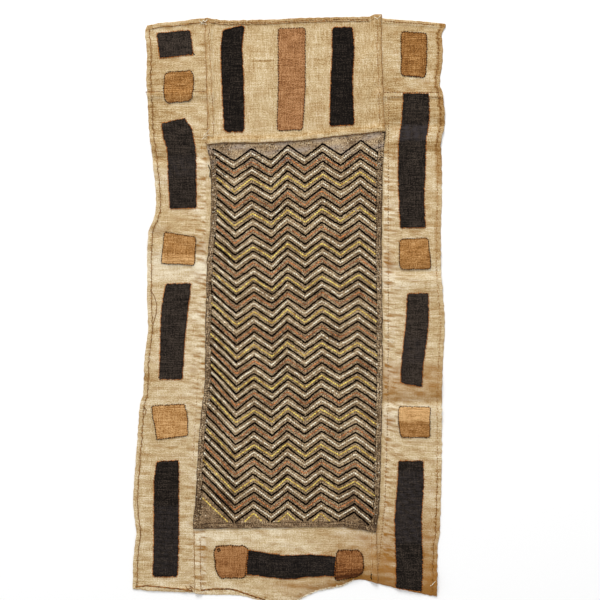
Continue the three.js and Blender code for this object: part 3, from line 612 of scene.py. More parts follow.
def clouds(x, y, column):
    return sum(row[column] * spot(x, y, *row[:4]) for row in cloudRows)


# Short wrinkles drawn towards the long seams, and how strongly
def pulled(x, y):
    pleats = waves(x, y, 8.5, 36, 5.0) + 0.5 * waves(x, y, 4.5, 45, 4.0)
    return pleats, seamPull(x, 32) * ramp((350 - y) / 60)


# The right hem is darker and warmer along two stretches
def hemShade(x, y, amount):
    along = banded(y, [(570, 244, 16, 1), (312, 268, 16, 0.5), (192, 110, 16, 0.9)])
    return amount * along * ramp((x - rightEdge(y) + 15) / 6) * (x > 0)


# Small warm patches all over the plain raffia, about -1 to 1
def mottled(x, y):
    return waves(x, y, 13, 47, 2.5)


# Plain raffia: a middle tone plus bands, slow and small waves and the painted shade of the fold lines, less
# clouds;
# painted highlight and shade on the wrinkles beside the long seams; a painted shadow line along the hem's
# stitches, darker along the top hem, and painted shade at the edges
def raffiaTone(side):
    def tone(x, y, far):
        edge = nearest(far, "left", "right")
        level = lightness["raffia"] + banded(y, stripBands[side]) + 0.06 * waves(x, y, 60, 31, 2.0)
        level = level + paintedFoldShade(x, y)
        level = level + 0.03 * waves(x, y, 9, 35, 7.0) - 0.025 * mottled(x, y) - clouds(x, y, 5)
        pleats, pull = pulled(x, y)
        # Painted highlight and painted shade on the wrinkles beside the long seams
        level = level + pull * (0.13 - 0.3 * np.clip(pleats - 0.3, 0, 0.8) + 0.16 * np.clip(-pleats, 0, 1))
        # A painted shadow line where the hem folds, at its stitches, blotchy where the hem gathers
        if side in far:
            stitched = bell(far[side] - 8.8, 3)
            stitchShadeAmount = 0.4 + 0.6 * ramp((np.abs(y) - 300) / 60) if side == "right" else 0.6
            level = level - stitched * stitchShadeAmount * (0.14 + 0.3 * np.clip(waves(x, y, 7, 37), -0.5, 1.5))
        level = level - 0.15 * fade(far["top"], 12) * (y > 500) - hemShade(x, y, 0.1)
        # Painted shade right at the side edges
        return level - 0.05 * fade(edge, 3) + 0.02 * fade(edge, 14)
    return tone


# The lower right corner is browner, the wrinkles beside the long seams get a warm brown painted shade, and a
# band on the right strip is golden
def raffiaStainAndShade(x, y, far):
    pleats, pull = pulled(x, y)
    # The wrinkles' painted shade, warm brown
    warm = stains["wrinkleShade"] * pull * np.clip(pleats - 0.1, 0, 1.2)
    warm = warm + stains["mottle"] * np.clip(mottled(x, y) - 0.1, 0, 1.5)
    golden = stains["golden"] * ramp((-96 - y) / 30) * ramp((y + 190) / 5) * (x > 0)
    corner = ramp((-330 - y) / 250) * ramp((x - 10) / 170) * stains["corner"]
    corner = corner * (0.85 + 0.22 * waves(x, y, 14, 38, 5.0))
    lowEdge = stains["lowEdge"] * fade(np.maximum(y - bottomCurve(x), 0), 10) * ramp((-500 - y) / 50)
    lowEdge = lowEdge * (0.5 * ramp((x + 110) / 60) + 0.7 * ramp((x + 20) / 60))
    hems = stains["topHem"] * fade(far["top"], 12) * (y > 500) + hemShade(x, y, stains["rightHem"])
    return np.clip(corner + lowEdge + hems + warm + golden + clouds(x, y, 4), 0, 0.9)


sheets = {}
hem, lap = laying["hemWide"], laying["lap"]
stripSides = {
    "left": dict(left=leftEdge, right=lambda y: leftSeam(y) + lap),
    "right": dict(left=lambda y: rightSeam(y) - lap, right=rightEdge),
}
for side, edges in stripSides.items():
    outer = {side: (hem, cloth["hem"], 8)}
    shared = dict(edges, cloth=cloth["plain"], tone=raffiaTone(side), stain=raffiaStainAndShade, gather=0.5)
    upper, lower = f"{side}_strip_upper", f"{side}_strip_lower"
    sheets[upper] = laySheet(side + "StripUpper", dict(
        shared, node=upper, at=500, top=topEdge, bottom=levelAt(laying["stripSeam"] - lap),
        hems=dict(outer, top=(hem, cloth["hem"], 6)), seed=40, rests=["floor"]), raffiaPlain, "raffia_plain")
    foot = (hem, cloth["hem"], 10) if side == "left" else (4, cloth["plain"] + 0.6, 0)
    sheets[lower] = laySheet(side + "StripLower", dict(
        shared, node=lower, at=0, top=levelAt(laying["stripSeam"]), bottom=bottomEdge,
        hems=dict(outer, top=(8, cloth["hem"], 7), bottom=foot), seed=50,
        rests=["floor", side + "StripUpper"]), raffiaPlain, "raffia_plain")
print("side strips laid")


# The embroidered panel: a middle tone plus slow and small waves, darker hems and lower end
def middleTone(x, y, far):
    hemDark = 0.12 * (1 - ramp((nearest(far, "left", "right") - 9) / 3)) * ramp((y + 60) / 240)
    upper = 0.03 * (np.clip(x / 120, -1, 1) - 0.3) * ramp((y - rollEdge(x) + 34) / 14)
    hems = 1 - ramp((nearest(far, "left", "right", "bottom") - 9) / 3)
    corners = 0.14 * ramp((-300 - y) / 110) * ramp((np.abs(x) - 60) / 90) + 0.13 * ramp((-350 - y) / 70)
    patchy = 0.16 * np.clip(waves(x, y, 9, 39), -1, 0.8) * (0.4 + 0.8 * hems)
    level = lightness["ground"] + 0.07 * waves(x, y, 70, 33)
    return level + patchy + upper - 0.7 * hemDark - 0.02 * hems - corners


# Pale grey patches on the embroidered panel's bare head
def middleGreyPatches(x, y, far):
    head = ramp((y - rollEdge(x) + 46) / 14) * (0.08 + 0.42 * waves(x, y, 22, 46, 2.4))
    return np.clip(head, 0, 0.6)


# The top panel: a middle tone plus waves and the painted shade of fold lines, darker to the right and at the
# top hem;
# a painted shadow line along the crease above the roll, a painted highlight on the roll, and painted shade
# along its side seams
def topTone(x, y, far):
    right = 0.06 * ramp((x - 60) / 60) - 0.06 * spot(x, y, 150, 506, 26, 36)
    cloudy = 0.05 * waves(x, y, 34, 34) + 0.04 * waves(x, y, 12, 44, 0.4)
    # Where the painted shadow line runs along the crease above the roll
    crease = bell(far["bottom"] - 11 - 1.5 * ripple(x, 40, 49), 2.4)
    level = lightness["top"] - right + cloudy + paintedFoldShade(x, y)
    # A painted highlight on the roll, and the crease's painted shadow line
    level = level + 0.06 * fade(far["bottom"], 7) - 0.17 * crease
    # Painted shade along the side seams, where the panel's edges lap over the strips
    level = level - 0.1 * fade(nearest(far, "left", "right"), 5)
    return level - 0.16 * fade(far["top"], 12) - clouds(x, y, 5)


# Golden clouds on the top panel, the strongest beside its right-hand patch
def topStain(x, y, far):
    cloud = 0.16 * spot(x, y, 56, 392, 20, 44)
    edges = 0.1 * fade(far["bottom"], 5) + 0.3 * fade(nearest(far, "left", "right"), 3)
    edges = edges + 0.2 * fade(far["top"], 9)
    return np.clip(0.02 + 0.07 * waves(x, y, 36, 48) + cloud + edges, 0, 0.5)


column = dict(left=leftSeam, right=rightSeam, cloth=cloth["plain"])
sideHems = {side: (lap + 1, cloth["hem"], 10) for side in ("left", "right")}
sheets["bottom_panel"] = laySheet("bottomPanel", dict(
    column, node="bottom_panel", at=-500, top=lambda x: footEdge(x) + lap, bottom=bottomEdge,
    hems=sideHems, tone=raffiaTone("bottom"), stain=raffiaStainAndShade, seed=60,
    rests=["floor", "leftStripLower", "rightStripLower"]), raffiaPlain, "raffia_plain")
sheets["middle_panel"] = laySheet("middlePanel", dict(
    column, node="middle_panel", at=0, top=lambda x: rollEdge(x) + lap, bottom=footEdge,
    cloth=cloth["stitched"], tone=middleTone, stain=middleGreyPatches, seed=70, step=4.2,
    hems={side: (lap, cloth["stitchedHem"], 10.5) for side in ("left", "right", "bottom")},
    rests=["floor", "leftStripLower", "rightStripLower", "bottomPanel"]),
    raffiaGround, "raffia_embroidered")
tabTop = lambda x: np.where(x > tabRows[0][0], np.maximum(topEdge(x), tabCurve(x)), topEdge(x))
sheets["top_panel"] = laySheet("topPanel", dict(
    column, node="top_panel", at=450, top=tabTop, bottom=rollEdge,
    hems=dict(sideHems, top=(hem, cloth["hem"], 6), bottom=(8, cloth["roll"], 0)), tone=topTone,
    stain=topStain, seed=80,
    rests=["middlePanel", "leftStripUpper", "rightStripUpper"]), raffiaTop, "raffia_top")
print("middle column laid")


# Patches on each side: number from the top, colour, how light it is, corner radius, how much
# higher the top and the foot lie at the right end, and cross sections as y, left, right
patchRows = {
    "left": [
        (1, "black", 0.72, 4, 6, 7.6, [(553, -265.5, -198), (503.5, -259.5, -191.5)]),
        (2, "tan", 0.4, 8, 4, 5, [(473.5, -249, -194), (457, -250, -191), (437, -251.5, -192.5),
            (412, -247, -196)]),
        (3, "black", 0.62, 5, 11, 1, [(375, -256.5, -207), (361, -255, -196), (341, -251, -191.5),
            (316, -244.5, -187.5), (276, -242.5, -186), (199, -239, -186)]),
        (4, "tan", 0.56, 4, -11, -4, [(147, -250, -186), (87.5, -256.5, -189)]),
        (5, "black", 0.66, 4, 1, 0, [(49, -247, -196), (16, -253, -200), (-24, -257, -205),
            (-66, -258, -209), (-143, -260.5, -213.5)]),
        (6, "tan", 0.58, 4, 4, 8, [(-194, -276.5, -209), (-228, -271, -203), (-259.5, -265.5, -203)]),
        (7, "black", 0.5, 5, 2, 0, [(-306, -265.5, -221.5), (-346, -270.5, -221), (-448, -271, -221),
            (-538, -273, -223.5)])],
    "right": [
        (1, "tan", 0.31, 8, -3, -5, [(551.5, 223, 276), (500, 224, 275), (463, 223, 273)]),
        (2, "black", 0.6, 3, -1, 0, [(429, 228, 279), (379, 225, 280), (335, 219.5, 273.5),
            (276, 218, 272.5), (218, 219.5, 270), (160.5, 222, 273)]),
        (3, "tan", 0.44, 7, 3, 0, [(139, 221, 278), (120, 220, 280), (92, 220, 283), (77.5, 222, 282.5)]),
        (4, "black", 0.7, 4, 2, -8, [(29, 236, 278), (-14, 234.5, 279), (-66, 229.5, 275),
            (-126, 223.5, 267), (-154, 223, 265.5)]),
        (5, "tan", 0.61, 4, -1, 0, [(-197.5, 219, 283), (-218, 218, 281.5), (-259, 223.5, 281.5)]),
        (6, "black", 0.54, 3, 0, -7, [(-306, 219, 268), (-346, 217, 269), (-427, 211.5, 265),
            (-508, 213.5, 267), (-563.5, 213.5, 265)])],
    "top": [
        (1, "black", 0.42, 7, 9, 0, [(561.5, -132.5, -90), (514, -137, -94), (454, -135, -91),
            (352.5, -130.5, -90)]),
        (2, "rust", 0.5, 5, 2, 2, [(560, -22.5, 32), (454, -22, 32), (356, -24.5, 27)]),
        (3, "black", 0.38, 5, 1, 3, [(562, 86, 127), (514, 86, 130), (454, 83, 127), (365, 81, 130.5)])],
    "bottom": [
        (1, "brown", 0.58, 8, 0, 0, [(-475, -148, -85), (-486, -150.5, -83), (-519, -148, -85.5),
            (-540.5, -141, -87)]),
        (3, "brown", 0.36, 9, 0, 8, [(-484, 95, 143), (-500, 94, 148), (-520, 92, 149), (-541.5, 90, 139)])]}
patchLooks = {"black": (clothBlack, "cloth_black"), "tan": (clothTan, "cloth_tan"),
              "rust": (clothRust, "cloth_rust"), "brown": (clothBrown, "cloth_brown")}
carriers = {"left": ["leftStripLower", "leftStripUpper"], "right": ["rightStripLower", "rightStripUpper"],
            "top": ["topPanel"], "bottom": ["bottomPanel"]}


# Where a fold line crosses a patch, painted light on one side of it and painted shade on the other: y, reach,
# and how much lighter it is above
patchFolds = {
    "right_patch_5": (-227, 8, 0.34), "left_patch_4": (106, 10, -0.16), "left_patch_6": (-226, 20, -0.05),
    "bottom_patch_3": (-512, 24, 0.16), "bottom_patch_1": (-506, 40, 0.08),
    "left_patch_2": (456, 4, 0.05), "right_patch_3": (112, 30, 0.06)}
# Painted shade in soft creases across a patch: x, y, lean, how dark
patchCreaseShade = {
    "bottom_patch_3": [(104, -537, 0.12, 0.5), (126, -524, 0.1, 0.16), (124, -492, -0.1, 0.14)],
    "bottom_patch_1": [(-116, -512, 0.0, 0.12), (-120, -534, 0.05, 0.1)],
    "left_patch_4": [(-220, 112, -0.1, 0.14)], "left_patch_2": [(-222, 456.5, 0, 0.12)],
    "left_patch_3": [(-222, 306, 0, 0.08), (-220, 250, -0.05, 0.06)],
    "right_patch_3": [(250, 122, 0.08, 0.08)], "right_patch_5": [(252, -232, -0.16, 0.09)]}
# Painted sheen: dull grey highlight streaks where a black patch was folded, and a brown stain on the fifth
# right patch: y from, y to, how strong
sheenRows = {
    "right_patch_2": (366, 336, 0.8), "left_patch_7": (-396, -530, 0.28),
    "right_patch_6": (-326, -470, 0.36), "right_patch_5": (-228, -262, 0.1),
    "left_patch_3": (306, 262, 0.2), "right_patch_4": (-60, -110, 0.2),
    "bottom_patch_2": (-500, -530, 0.1)}


def patchTone(light, seed, name):
    y0, reach, amount = patchFolds.get(name, (0, 1, 0))
    creases = patchCreaseShade.get(name, [])

    def tone(x, y, far):
        edge = nearest(far, *far)
        # Painted light and shade on the two sides of the fold
        level = light + amount * (ramp((y - y0) / reach + 0.5) - 0.5) + 0.03 * waves(x, y, 26, seed)
        level = level + 0.03 * waves(x, y, 8, seed + 1) + 0.05 * waves(x, y, 5, seed + 2, 9.0)
        # Painted shade along each crease
        for creaseX, creaseY, lean, dark in creases:
            level = level - dark * bell(y - creaseY - lean * (x - creaseX), 3)
        return level - 0.1 * fade(edge, 2.5)
    return tone


def patchStainAndSheen(seed, name):
    high, low, amount = sheenRows.get(name, (0, 0, 0))

    def stain(x, y, far):
        # Painted sheen on the black patches, a real stain on the tan one
        band = ramp((high - y) / 8 + 0.5) * ramp((y - low) / 8 + 0.5)
        return np.clip(amount * band * (0.65 + 0.6 * waves(x, y, 6, seed + 3, 3.0)), 0, 0.9)
    return stain


# An edge is never quite straight
def wob(t, seed):
    return 0.45 * ripple(t, 11, seed)


# A patch's upper or lower edge: level, rising by lift from its left end to its right
def slanted(y, left, right, lift, seed):
    return lambda x: y + lift * ((x - left) / (right - left) - 0.5) + wob(x, seed)


patches = [(side, *row) for side, rows in patchRows.items() for row in rows]
for count, (side, number, colour, light, corner, topLift, footLift, rows) in enumerate(patches):
    name = f"{side}_patch_{number}"
    (yTop, leftTop, rightTop), (yFoot, leftFoot, rightFoot) = rows[0], rows[-1]
    slantTop = slanted(yTop, leftTop, rightTop, topLift, 100 + count)
    slantFoot = slanted(yFoot, leftFoot, rightFoot, footLift, 130 + count)
    leftCurve, rightCurve = curve(rows, 1), curve(rows, 2)
    sheets[name] = laySheet(f"{side}Patch{number}", dict(
        node=name, at=(yTop + yFoot) / 2, cloth=cloth["patch"], corner=corner,
        left=lambda y, f=leftCurve, s=count: f(y) + wob(y, 160 + s),
        right=lambda y, f=rightCurve, s=count: f(y) + wob(y, 190 + s),
        top=slantTop, bottom=slantFoot, tone=patchTone(light, 200 + 3 * count, name), seed=300 + 2 * count,
        stain=patchStainAndSheen(200 + 3 * count, name), rests=carriers[side]), *patchLooks[colour])
    sheets[name]["colour"] = colour

# The dark bar between the two lower brown patches: its top and foot as x, y
barTop = curve([(-83, -484), (2, -495.5), (32, -493.5), (92, -497)])
barFoot = curve([(-83, -533.5), (2, -542.5), (32, -538), (92, -535.5)])
barLeft, barRight = [curve(row[-1], edge) for row, edge in zip(patchRows["bottom"], (2, 1))]
sheets["bottom_patch_2"] = laySheet("bottomPatch2", dict(
    node="bottom_patch_2", at=-515, cloth=cloth["patch"], left=lambda y: barLeft(y) + 0.8,
    right=lambda y: barRight(y) - 0.8, top=lambda x: barTop(x) + 0.5 * ripple(x, 12, 351),
    bottom=lambda x: barFoot(x) + 0.5 * ripple(x, 12, 352), tone=patchTone(0.47, 353, "bottom_patch_2"),
    stain=patchStainAndSheen(353, "bottom_patch_2"), seed=355, rests=["bottomPanel"]), clothBlack, "cloth_black")
sheets["bottom_patch_2"]["colour"] = "black"
print("patches laid")


# Each stitch is a spindle from start to end: rings at shares t of its length, their radius
# (1 - (2t - 1) ** 4) ** 0.5, closed by a point at each end. It rises by lift * (1 - (2t - 1) ** 2).
def sewStitches(name, starts, ends, material, slot, wide=1.3, high=0.8, lift=0.35, rings=3, sides=6, seed=1):
    chance = np.random.default_rng(seed)
    count = len(starts)
    t = np.r_[0, (np.arange(rings) + 1) / (rings + 1), 1]
    way = ends - starts
    length = np.linalg.norm(way, axis=1, keepdims=True)
    across = np.stack([-way[:, 1], way[:, 0]], 1) / np.maximum(length, 1e-6)
    line = starts[:, None] + way[:, None] * t[None, :, None]
    level = sample(ground, line[..., 0], line[..., 1])
    level = np.maximum(level, level[:, :1] * (1 - t) + level[:, -1:] * t)
    level = level + lift * (1 - (2 * t - 1) ** 2) - 0.35 * (2 * t - 1) ** 4 * high
    girth = np.sqrt(np.clip(1 - (2 * t - 1) ** 4, 0, 1))[None, :] * chance.uniform(0.82, 1.15, (count, 1))
    turn = 2 * np.pi * np.arange(sides) / sides
    side, up = np.cos(turn), np.sin(turn)
    ringXy = line[:, 1:-1, None] + across[:, None, None] * (girth[:, 1:-1, None] * side * wide / 2)[..., None]
    ringZ = level[:, 1:-1, None] + girth[:, 1:-1, None] * up * high / 2
    tips = np.stack([np.c_[line[:, 0], level[:, 0]], np.c_[line[:, -1], level[:, -1]]], 1)
    points = np.concatenate([tips, np.concatenate([ringXy, ringZ[..., None]], -1).reshape(count, -1, 3)], 1)
    each = points.shape[1]
    faces = []
    for k in range(sides):
        n = (k + 1) % sides
        faces.append((0, 2 + n, 2 + k))
        last = 2 + (rings - 1) * sides
        faces.append((1, last + k, last + n))
        for r in range(rings - 1):
            a, b = 2 + r * sides, 2 + (r + 1) * sides
            faces += [(a + k, a + n, b + n), (a + k, b + n, b + k)]
    faces = (np.array(faces)[None] + each * np.arange(count)[:, None, None]).reshape(-1, 3)
    shade = np.repeat(chance.uniform(0.05, 0.95, count), each)
    return addPiece(name, points.reshape(-1, 3), faces, material, slot, shade=shade)


# Points at even distances along a broken line, with its direction there
def walk(path, step, offset=0.0):
    run = np.r_[0, np.cumsum(np.linalg.norm(np.diff(path, axis=0), axis=1))]
    at = np.arange(offset, run[-1], step)
    points = np.stack([np.interp(at, run, path[:, k]) for k in (0, 1)], 1)
    behind, ahead = [np.stack([np.interp(at + s, run, path[:, k]) for k in (0, 1)], 1) for s in (-0.5, 0.5)]
    ahead = ahead - behind
    return points, ahead / np.maximum(np.linalg.norm(ahead, axis=1, keepdims=True), 1e-6)


# Stem stitch along a path: each stitch starts a little to one side and ends to the other
def stemStitch(path, length, step, slant, seed, chanceOut=0.0):
    chance = np.random.default_rng(seed)
    points, ahead = walk(path, step, chance.uniform(0, step))
    aside = np.stack([-ahead[:, 1], ahead[:, 0]], 1)
    size = length * chance.uniform(0.85, 1.12, (len(points), 1))
    shift = chance.normal(0, 0.24, (len(points), 1))
    kept = chance.uniform(0, 1, len(points)) >= chanceOut
    starts = points - ahead * size / 2 + aside * (slant + shift)
    ends = points + ahead * size / 2 + aside * (shift - slant)
    return starts[kept], ends[kept]


embroidery = dict(
    lines=44, pitchDrift=[(0, 0), (5, -2.4), (9, -4), (17, 0), (24, 2.4), (30, 6), (36, 3.4), (43, 0)],
    black=dict(length=6.2, step=3.9, wide=3.8, high=1.5),
    coloured=dict(length=5.2, step=4.7, wide=2.8, high=1.3),
    dash=dict(length=2.2, step=4.3, wide=2.1, high=1.0, away=2.9),
    flecks=[("dash", 2400, 0.6, -434, 322), ("pale", 500, 0.6, -434, 322), ("dash", 620, 0.1, 282, 350),
        ("pale", 140, 0.1, 282, 350)])
# Turning points of the zigzag from left to right: x at the panel's top, middle and foot, and
# y of the first and of the last line; the two ends follow the hems
turnRows = [
    (-144.5, -152.5, -174.5, 318, -362), (-110.5, -105.5, -109.3, 294, -430),
    (-76.5, -70.5, -71.5, 319, -402), (-36.5, -34.5, -35.5, 296, -428), (-3.5, -3.5, -3.5, 326.4, -402),
    (31.5, 31.5, 31.5, 302, -428), (66.3, 65, 63.5, 329, -404), (103.5, 101, 98.5, 305, -426),
    (143.5, 137, 129.5, 334.8, -409), (176.9, 171.5, 163.5, 311, -438)]
drift = curve(embroidery["pitchDrift"])
# The last yellow line fills only some of the turns: its ends and middles as x, y
lastRows = [
    [(-174.5, -379), (-120.5, -430)], [(-92.5, -430), (-71.5, -411), (-50.5, -430)],
    [(-24.5, -430), (-3.5, -411), (17.5, -430)], [(45.5, -427), (63.5, -411), (81.5, -427)]]
turnChance = np.random.default_rng(5)
turnJitter = turnChance.normal(0, 0.5, (2, len(turnRows), 3 * embroidery["lines"]))


# A line of the zigzag: k counts black lines from 0, and halves lie midway between two of them
def zigzag(k):
    share = k / (embroidery["lines"] - 1)
    points = []
    for i, (xTop, xMid, xFoot, first, last) in enumerate(turnRows):
        y = first + (last - first) * share + float(drift(k)) + turnJitter[0, i, int(2 * k)]
        x = curve([(0, xTop), (0.5, xMid), (1, xFoot)])(share) + turnJitter[1, i, int(2 * k)]
        x = leftSeam(y) + 12 if i == 0 else rightSeam(y) - 12 if i == len(turnRows) - 1 else x
        points.append((float(x), y))
    path = np.array(points)
    fine, ahead = walk(path, 2.0)
    bow = np.stack([waves(fine[:, 0], fine[:, 1], 40, 7 + axis) for axis in (0, 1)], 1) * 0.35
    return np.concatenate([fine + bow, path[-1:]])


def lineColour(k):
    return "pale" if k % 2 else "rust" if k % 4 == 2 else "yellow"


def keep(store, made):
    for part, new in zip(store, made):
        part.append(new)


threads = {key: [[], []] for key in ("black", "pale", "rust", "yellow", "dash", "dashFlecks", "paleFlecks")}
for k in range(embroidery["lines"]):
    size = embroidery["black"]
    keep(threads["black"], stemStitch(zigzag(k), size["length"], size["step"], 0.4, 400 + k))
    if k == embroidery["lines"] - 1:
        break
    between, size = zigzag(k + 0.5), embroidery["coloured"]
    made = stemStitch(between, size["length"], size["step"], 0.35, 500 + k, 0.003)
    keep(threads[lineColour(k + 1)], made)
    size = embroidery["dash"]
    for way in (-1, 1):
        shifted = between + np.array([0, way * size["away"] / 0.8])
        made = stemStitch(shifted, size["length"], size["step"], 0.1, 600 + 2 * k + way, 0.1)
        keep(threads["dash"], made)
for count, row in enumerate(lastRows):
    size = embroidery["coloured"]
    made = stemStitch(np.array(row), size["length"], size["step"], 0.35, 590 + count)
    keep(threads["yellow"], made)


# Short stray fibres in every direction over the embroidered panel, more of them on its hems
def strayFibres(count, seed, hemShare, low, high):
    chance = np.random.default_rng(seed)
    y = chance.uniform(low, high, count)
    onHem = chance.uniform(0, 1, count) < hemShare
    share = np.where(onHem, chance.uniform(0.005, 0.04, count), chance.uniform(0.04, 0.96, count))
    share = np.where(chance.uniform(0, 1, count) < 0.5, share, 1 - share)
    x = leftSeam(y) * (1 - share) + rightSeam(y) * share
    turn, half = chance.uniform(0, np.pi, count), chance.uniform(0.9, 1.7, count)
    way = np.stack([np.cos(turn), np.sin(turn)], 1) * half[:, None]
    middle = np.stack([x, y], 1)
    return middle - way, middle + way


for key, number, hemShare, low, high in embroidery["flecks"]:
    keep(threads[key + "Flecks"], strayFibres(number, 650 + number, hemShare, low, high))
threadOf = dict(thread, dash=thread["brown"], dashFlecks=thread["brown"], paleFlecks=thread["pale"])
for key, (starts, ends) in threads.items():
    fine = key in ("dash", "dashFlecks", "paleFlecks")
    size = embroidery["dash" if fine else "black" if key == "black" else "coloured"]
    starts, ends = np.concatenate(starts), np.concatenate(ends)
    clear = np.minimum(starts[:, 1], ends[:, 1]) > footEdge(starts[:, 0]) + (2 if "Flecks" in key else 11)
    clear &= np.maximum(starts[:, 1], ends[:, 1]) < rollEdge(starts[:, 0]) - 2
    wide = size["wide"] * (0.7 if "Flecks" in key else 1)
    sewStitches(
        key + "Stitches", starts[clear], ends[clear], threadOf[key], "raffia_embroidered", wide=wide,
        high=size["high"] * wide / size["wide"], rings=2 if fine else 3, sides=4 if fine else 6)
print("embroidery sewn")


# Overcast stitches round a patch: each crosses its edge, from just outside to well inside
def rimOf(sheet):
    x, y = sheet["x"], sheet["y"]
    return np.concatenate([np.stack([part(x), part(y)], 1) for part in (
        lambda a: a[0, :-1], lambda a: a[:-1, -1], lambda a: a[-1, :0:-1], lambda a: a[::-1, 0])])


overcast = dict(
    black=dict(outside=0.5, inside=0.7, slant=2.0, pitch=4.6, wide=1.9, high=0.9, thread="outline",
               slot="cloth_black"),
    rust=dict(outside=1.4, inside=0.4, slant=2.2, pitch=4.8, wide=1.5, high=0.8, thread="halo",
              slot="cloth_rust"),
    dark=dict(outside=0.4, inside=1.4, slant=1.8, pitch=4.6, wide=2.4, high=1.0, thread="brown",
              slot="cloth_black"))
edging = {kind: [[], []] for kind in overcast}
for count, (name, sheet) in enumerate(sheets.items()):
    if "colour" not in sheet:
        continue
    kind = {"black": "rust", "brown": "dark"}.get(sheet["colour"], "black")
    size = overcast[kind]
    points, ahead = walk(rimOf(sheet), size["pitch"] * (1.2 if name == "top_patch_2" else 1))
    chance = np.random.default_rng(700 + count)
    out = np.stack([-ahead[:, 1], ahead[:, 0]], 1)      # the rim runs clockwise, so left of it is outside
    jitter = chance.normal(0, 0.3, (len(points), 2))
    keep(edging[kind], (points + out * size["outside"] + ahead * size["slant"] + jitter,
                        points - out * size["inside"] - ahead * size["slant"] + jitter))
for kind, (starts, ends) in edging.items():
    size = overcast[kind]
    sewStitches(
        kind + "Edging", np.concatenate(starts), np.concatenate(ends),
        thread[size["thread"]], size["slot"], wide=size["wide"], high=size["high"], lift=0.5)
print("patches edged")


# Paths for running stitches: beside an edge down the cloth, and across it
def downPath(edge, offset, high, low, last=None):
    y = np.arange(high, low, -2.0)
    shift = offset if last is None else np.linspace(offset, last, len(y))
    return np.stack([edge(y) + shift + 0.35 * ripple(y, 13, int(abs(high)) % 97), y], 1)


def acrossPath(edge, offset, left, right):
    x = np.arange(left, right, 2.0)
    return np.stack([x, edge(x) + offset], 1)


# Lines that follow no edge: the right strip's inner stitches, then the corded lower hem, as x, y
innerRow = curve([
    (422, 199.5), (346, 198.5), (-184, 197.5), (-304, 194.3), (-384, 191.5), (-464, 184.1), (-508, 179.1),
    (-538, 174.9)])
cordRows = [
    [(-309, -558), (-288.5, -556), (-250, -559), (-218.5, -562), (-195, -566.5)],
    [(-178, -565), (-148.5, -562.5), (-118.5, -562.5), (-104, -566), (-88.5, -571.5), (-70, -577.5),
        (-50, -584)]]
# Each row: path, stitch length, step from one to the next
runningRows = {
    "brown": [
        *[(downPath(edge, offset * way, high, -436), length, step)
          for edge, way, high in ((leftSeam, 1, 318), (rightSeam, -1, 336))
          for offset, length, step in ((11.5, 3.2, 3.8), (6.5, 2.4, 4.6), (1.4, 3.6, 4.4))],
        (acrossPath(footEdge, 10.5, -178, 160), 3.2, 3.8),
        (acrossPath(footEdge, 5.5, -184, 166), 2.4, 5.0)],
    "seam": [(acrossPath(topEdge, -5.5, -150, 158), 6.6, 5.4),
        (acrossPath(topEdge, -8.5, -277, 158), 6.6, 5.4), (acrossPath(topEdge, -5.5, 190, 292), 6.2, 5.6),
        (downPath(leftEdge, 8.8, 557, -560), 7.0, 5.6), (downPath(rightEdge, -8.8, 556, 320), 6.0, 5.4),
        (downPath(rightEdge, -8.8, -330, -570), 6.0, 5.4), (downPath(innerRow, 0, 420, -536), 3.6, 5.4),
        (acrossPath(rollEdge, -0.6, -164, 186), 5.4, 4.8),
        (acrossPath(levelAt(432.4), 0, -286, -253), 6.0, 5.2),
        (acrossPath(levelAt(432.4), 0, -190, -168), 6.0, 5.2),
        (acrossPath(levelAt(431), 0, 190, 302), 6.0, 5.0)],
    "faint": [(downPath(leftSeam, 7, 566, 344, 11.5), 6.4, 5.6),
        (downPath(rightSeam, -7.5, 566, 362, -8), 6.4, 5.6),
        (downPath(leftSeam, -0.3, 574, 336), 6.6, 5.2), (downPath(rightSeam, 0.3, 574, 356), 6.6, 5.2),
        (downPath(leftSeam, -0.3, -446, -566), 6.6, 5.2),
        (downPath(rightSeam, 0.3, -446, -545), 6.6, 5.2),
        (downPath(leftSeam, 11.5, -458, -566), 6.0, 5.8), (downPath(rightSeam, -9, -458, -545), 6.0, 5.8),
        (acrossPath(levelAt(422), 0, 190, 225), 5.0, 6.0),
        (acrossPath(levelAt(422), 0, 283, 302), 5.0, 6.0),
        (downPath(rightEdge, -9.2, 320, -330), 4.4, 6.0),
        (downPath(lambda y: -182 + 0.06 * (y + 128), 0, -128, -310), 3.6, 5.6)],
    "cord": [(np.array(row), 7.5, 4.4) for row in cordRows]}
runningWide = dict(brown=1.6, seam=1.7, faint=1.6, cord=3.2)
for count, (kind, rows) in enumerate(runningRows.items()):
    made = [stemStitch(path, length, step, 0.25, 800 + 20 * count + k, 0.004)
            for k, (path, length, step) in enumerate(rows)]
    starts, ends, wide = [m[0] for m in made], [m[1] for m in made], runningWide[kind]
    sewStitches(
        kind + "Seams", np.concatenate(starts), np.concatenate(ends), thread[kind], "raffia_plain",
        wide=wide, high=0.7 * max(1, wide / 2), lift=0.2)

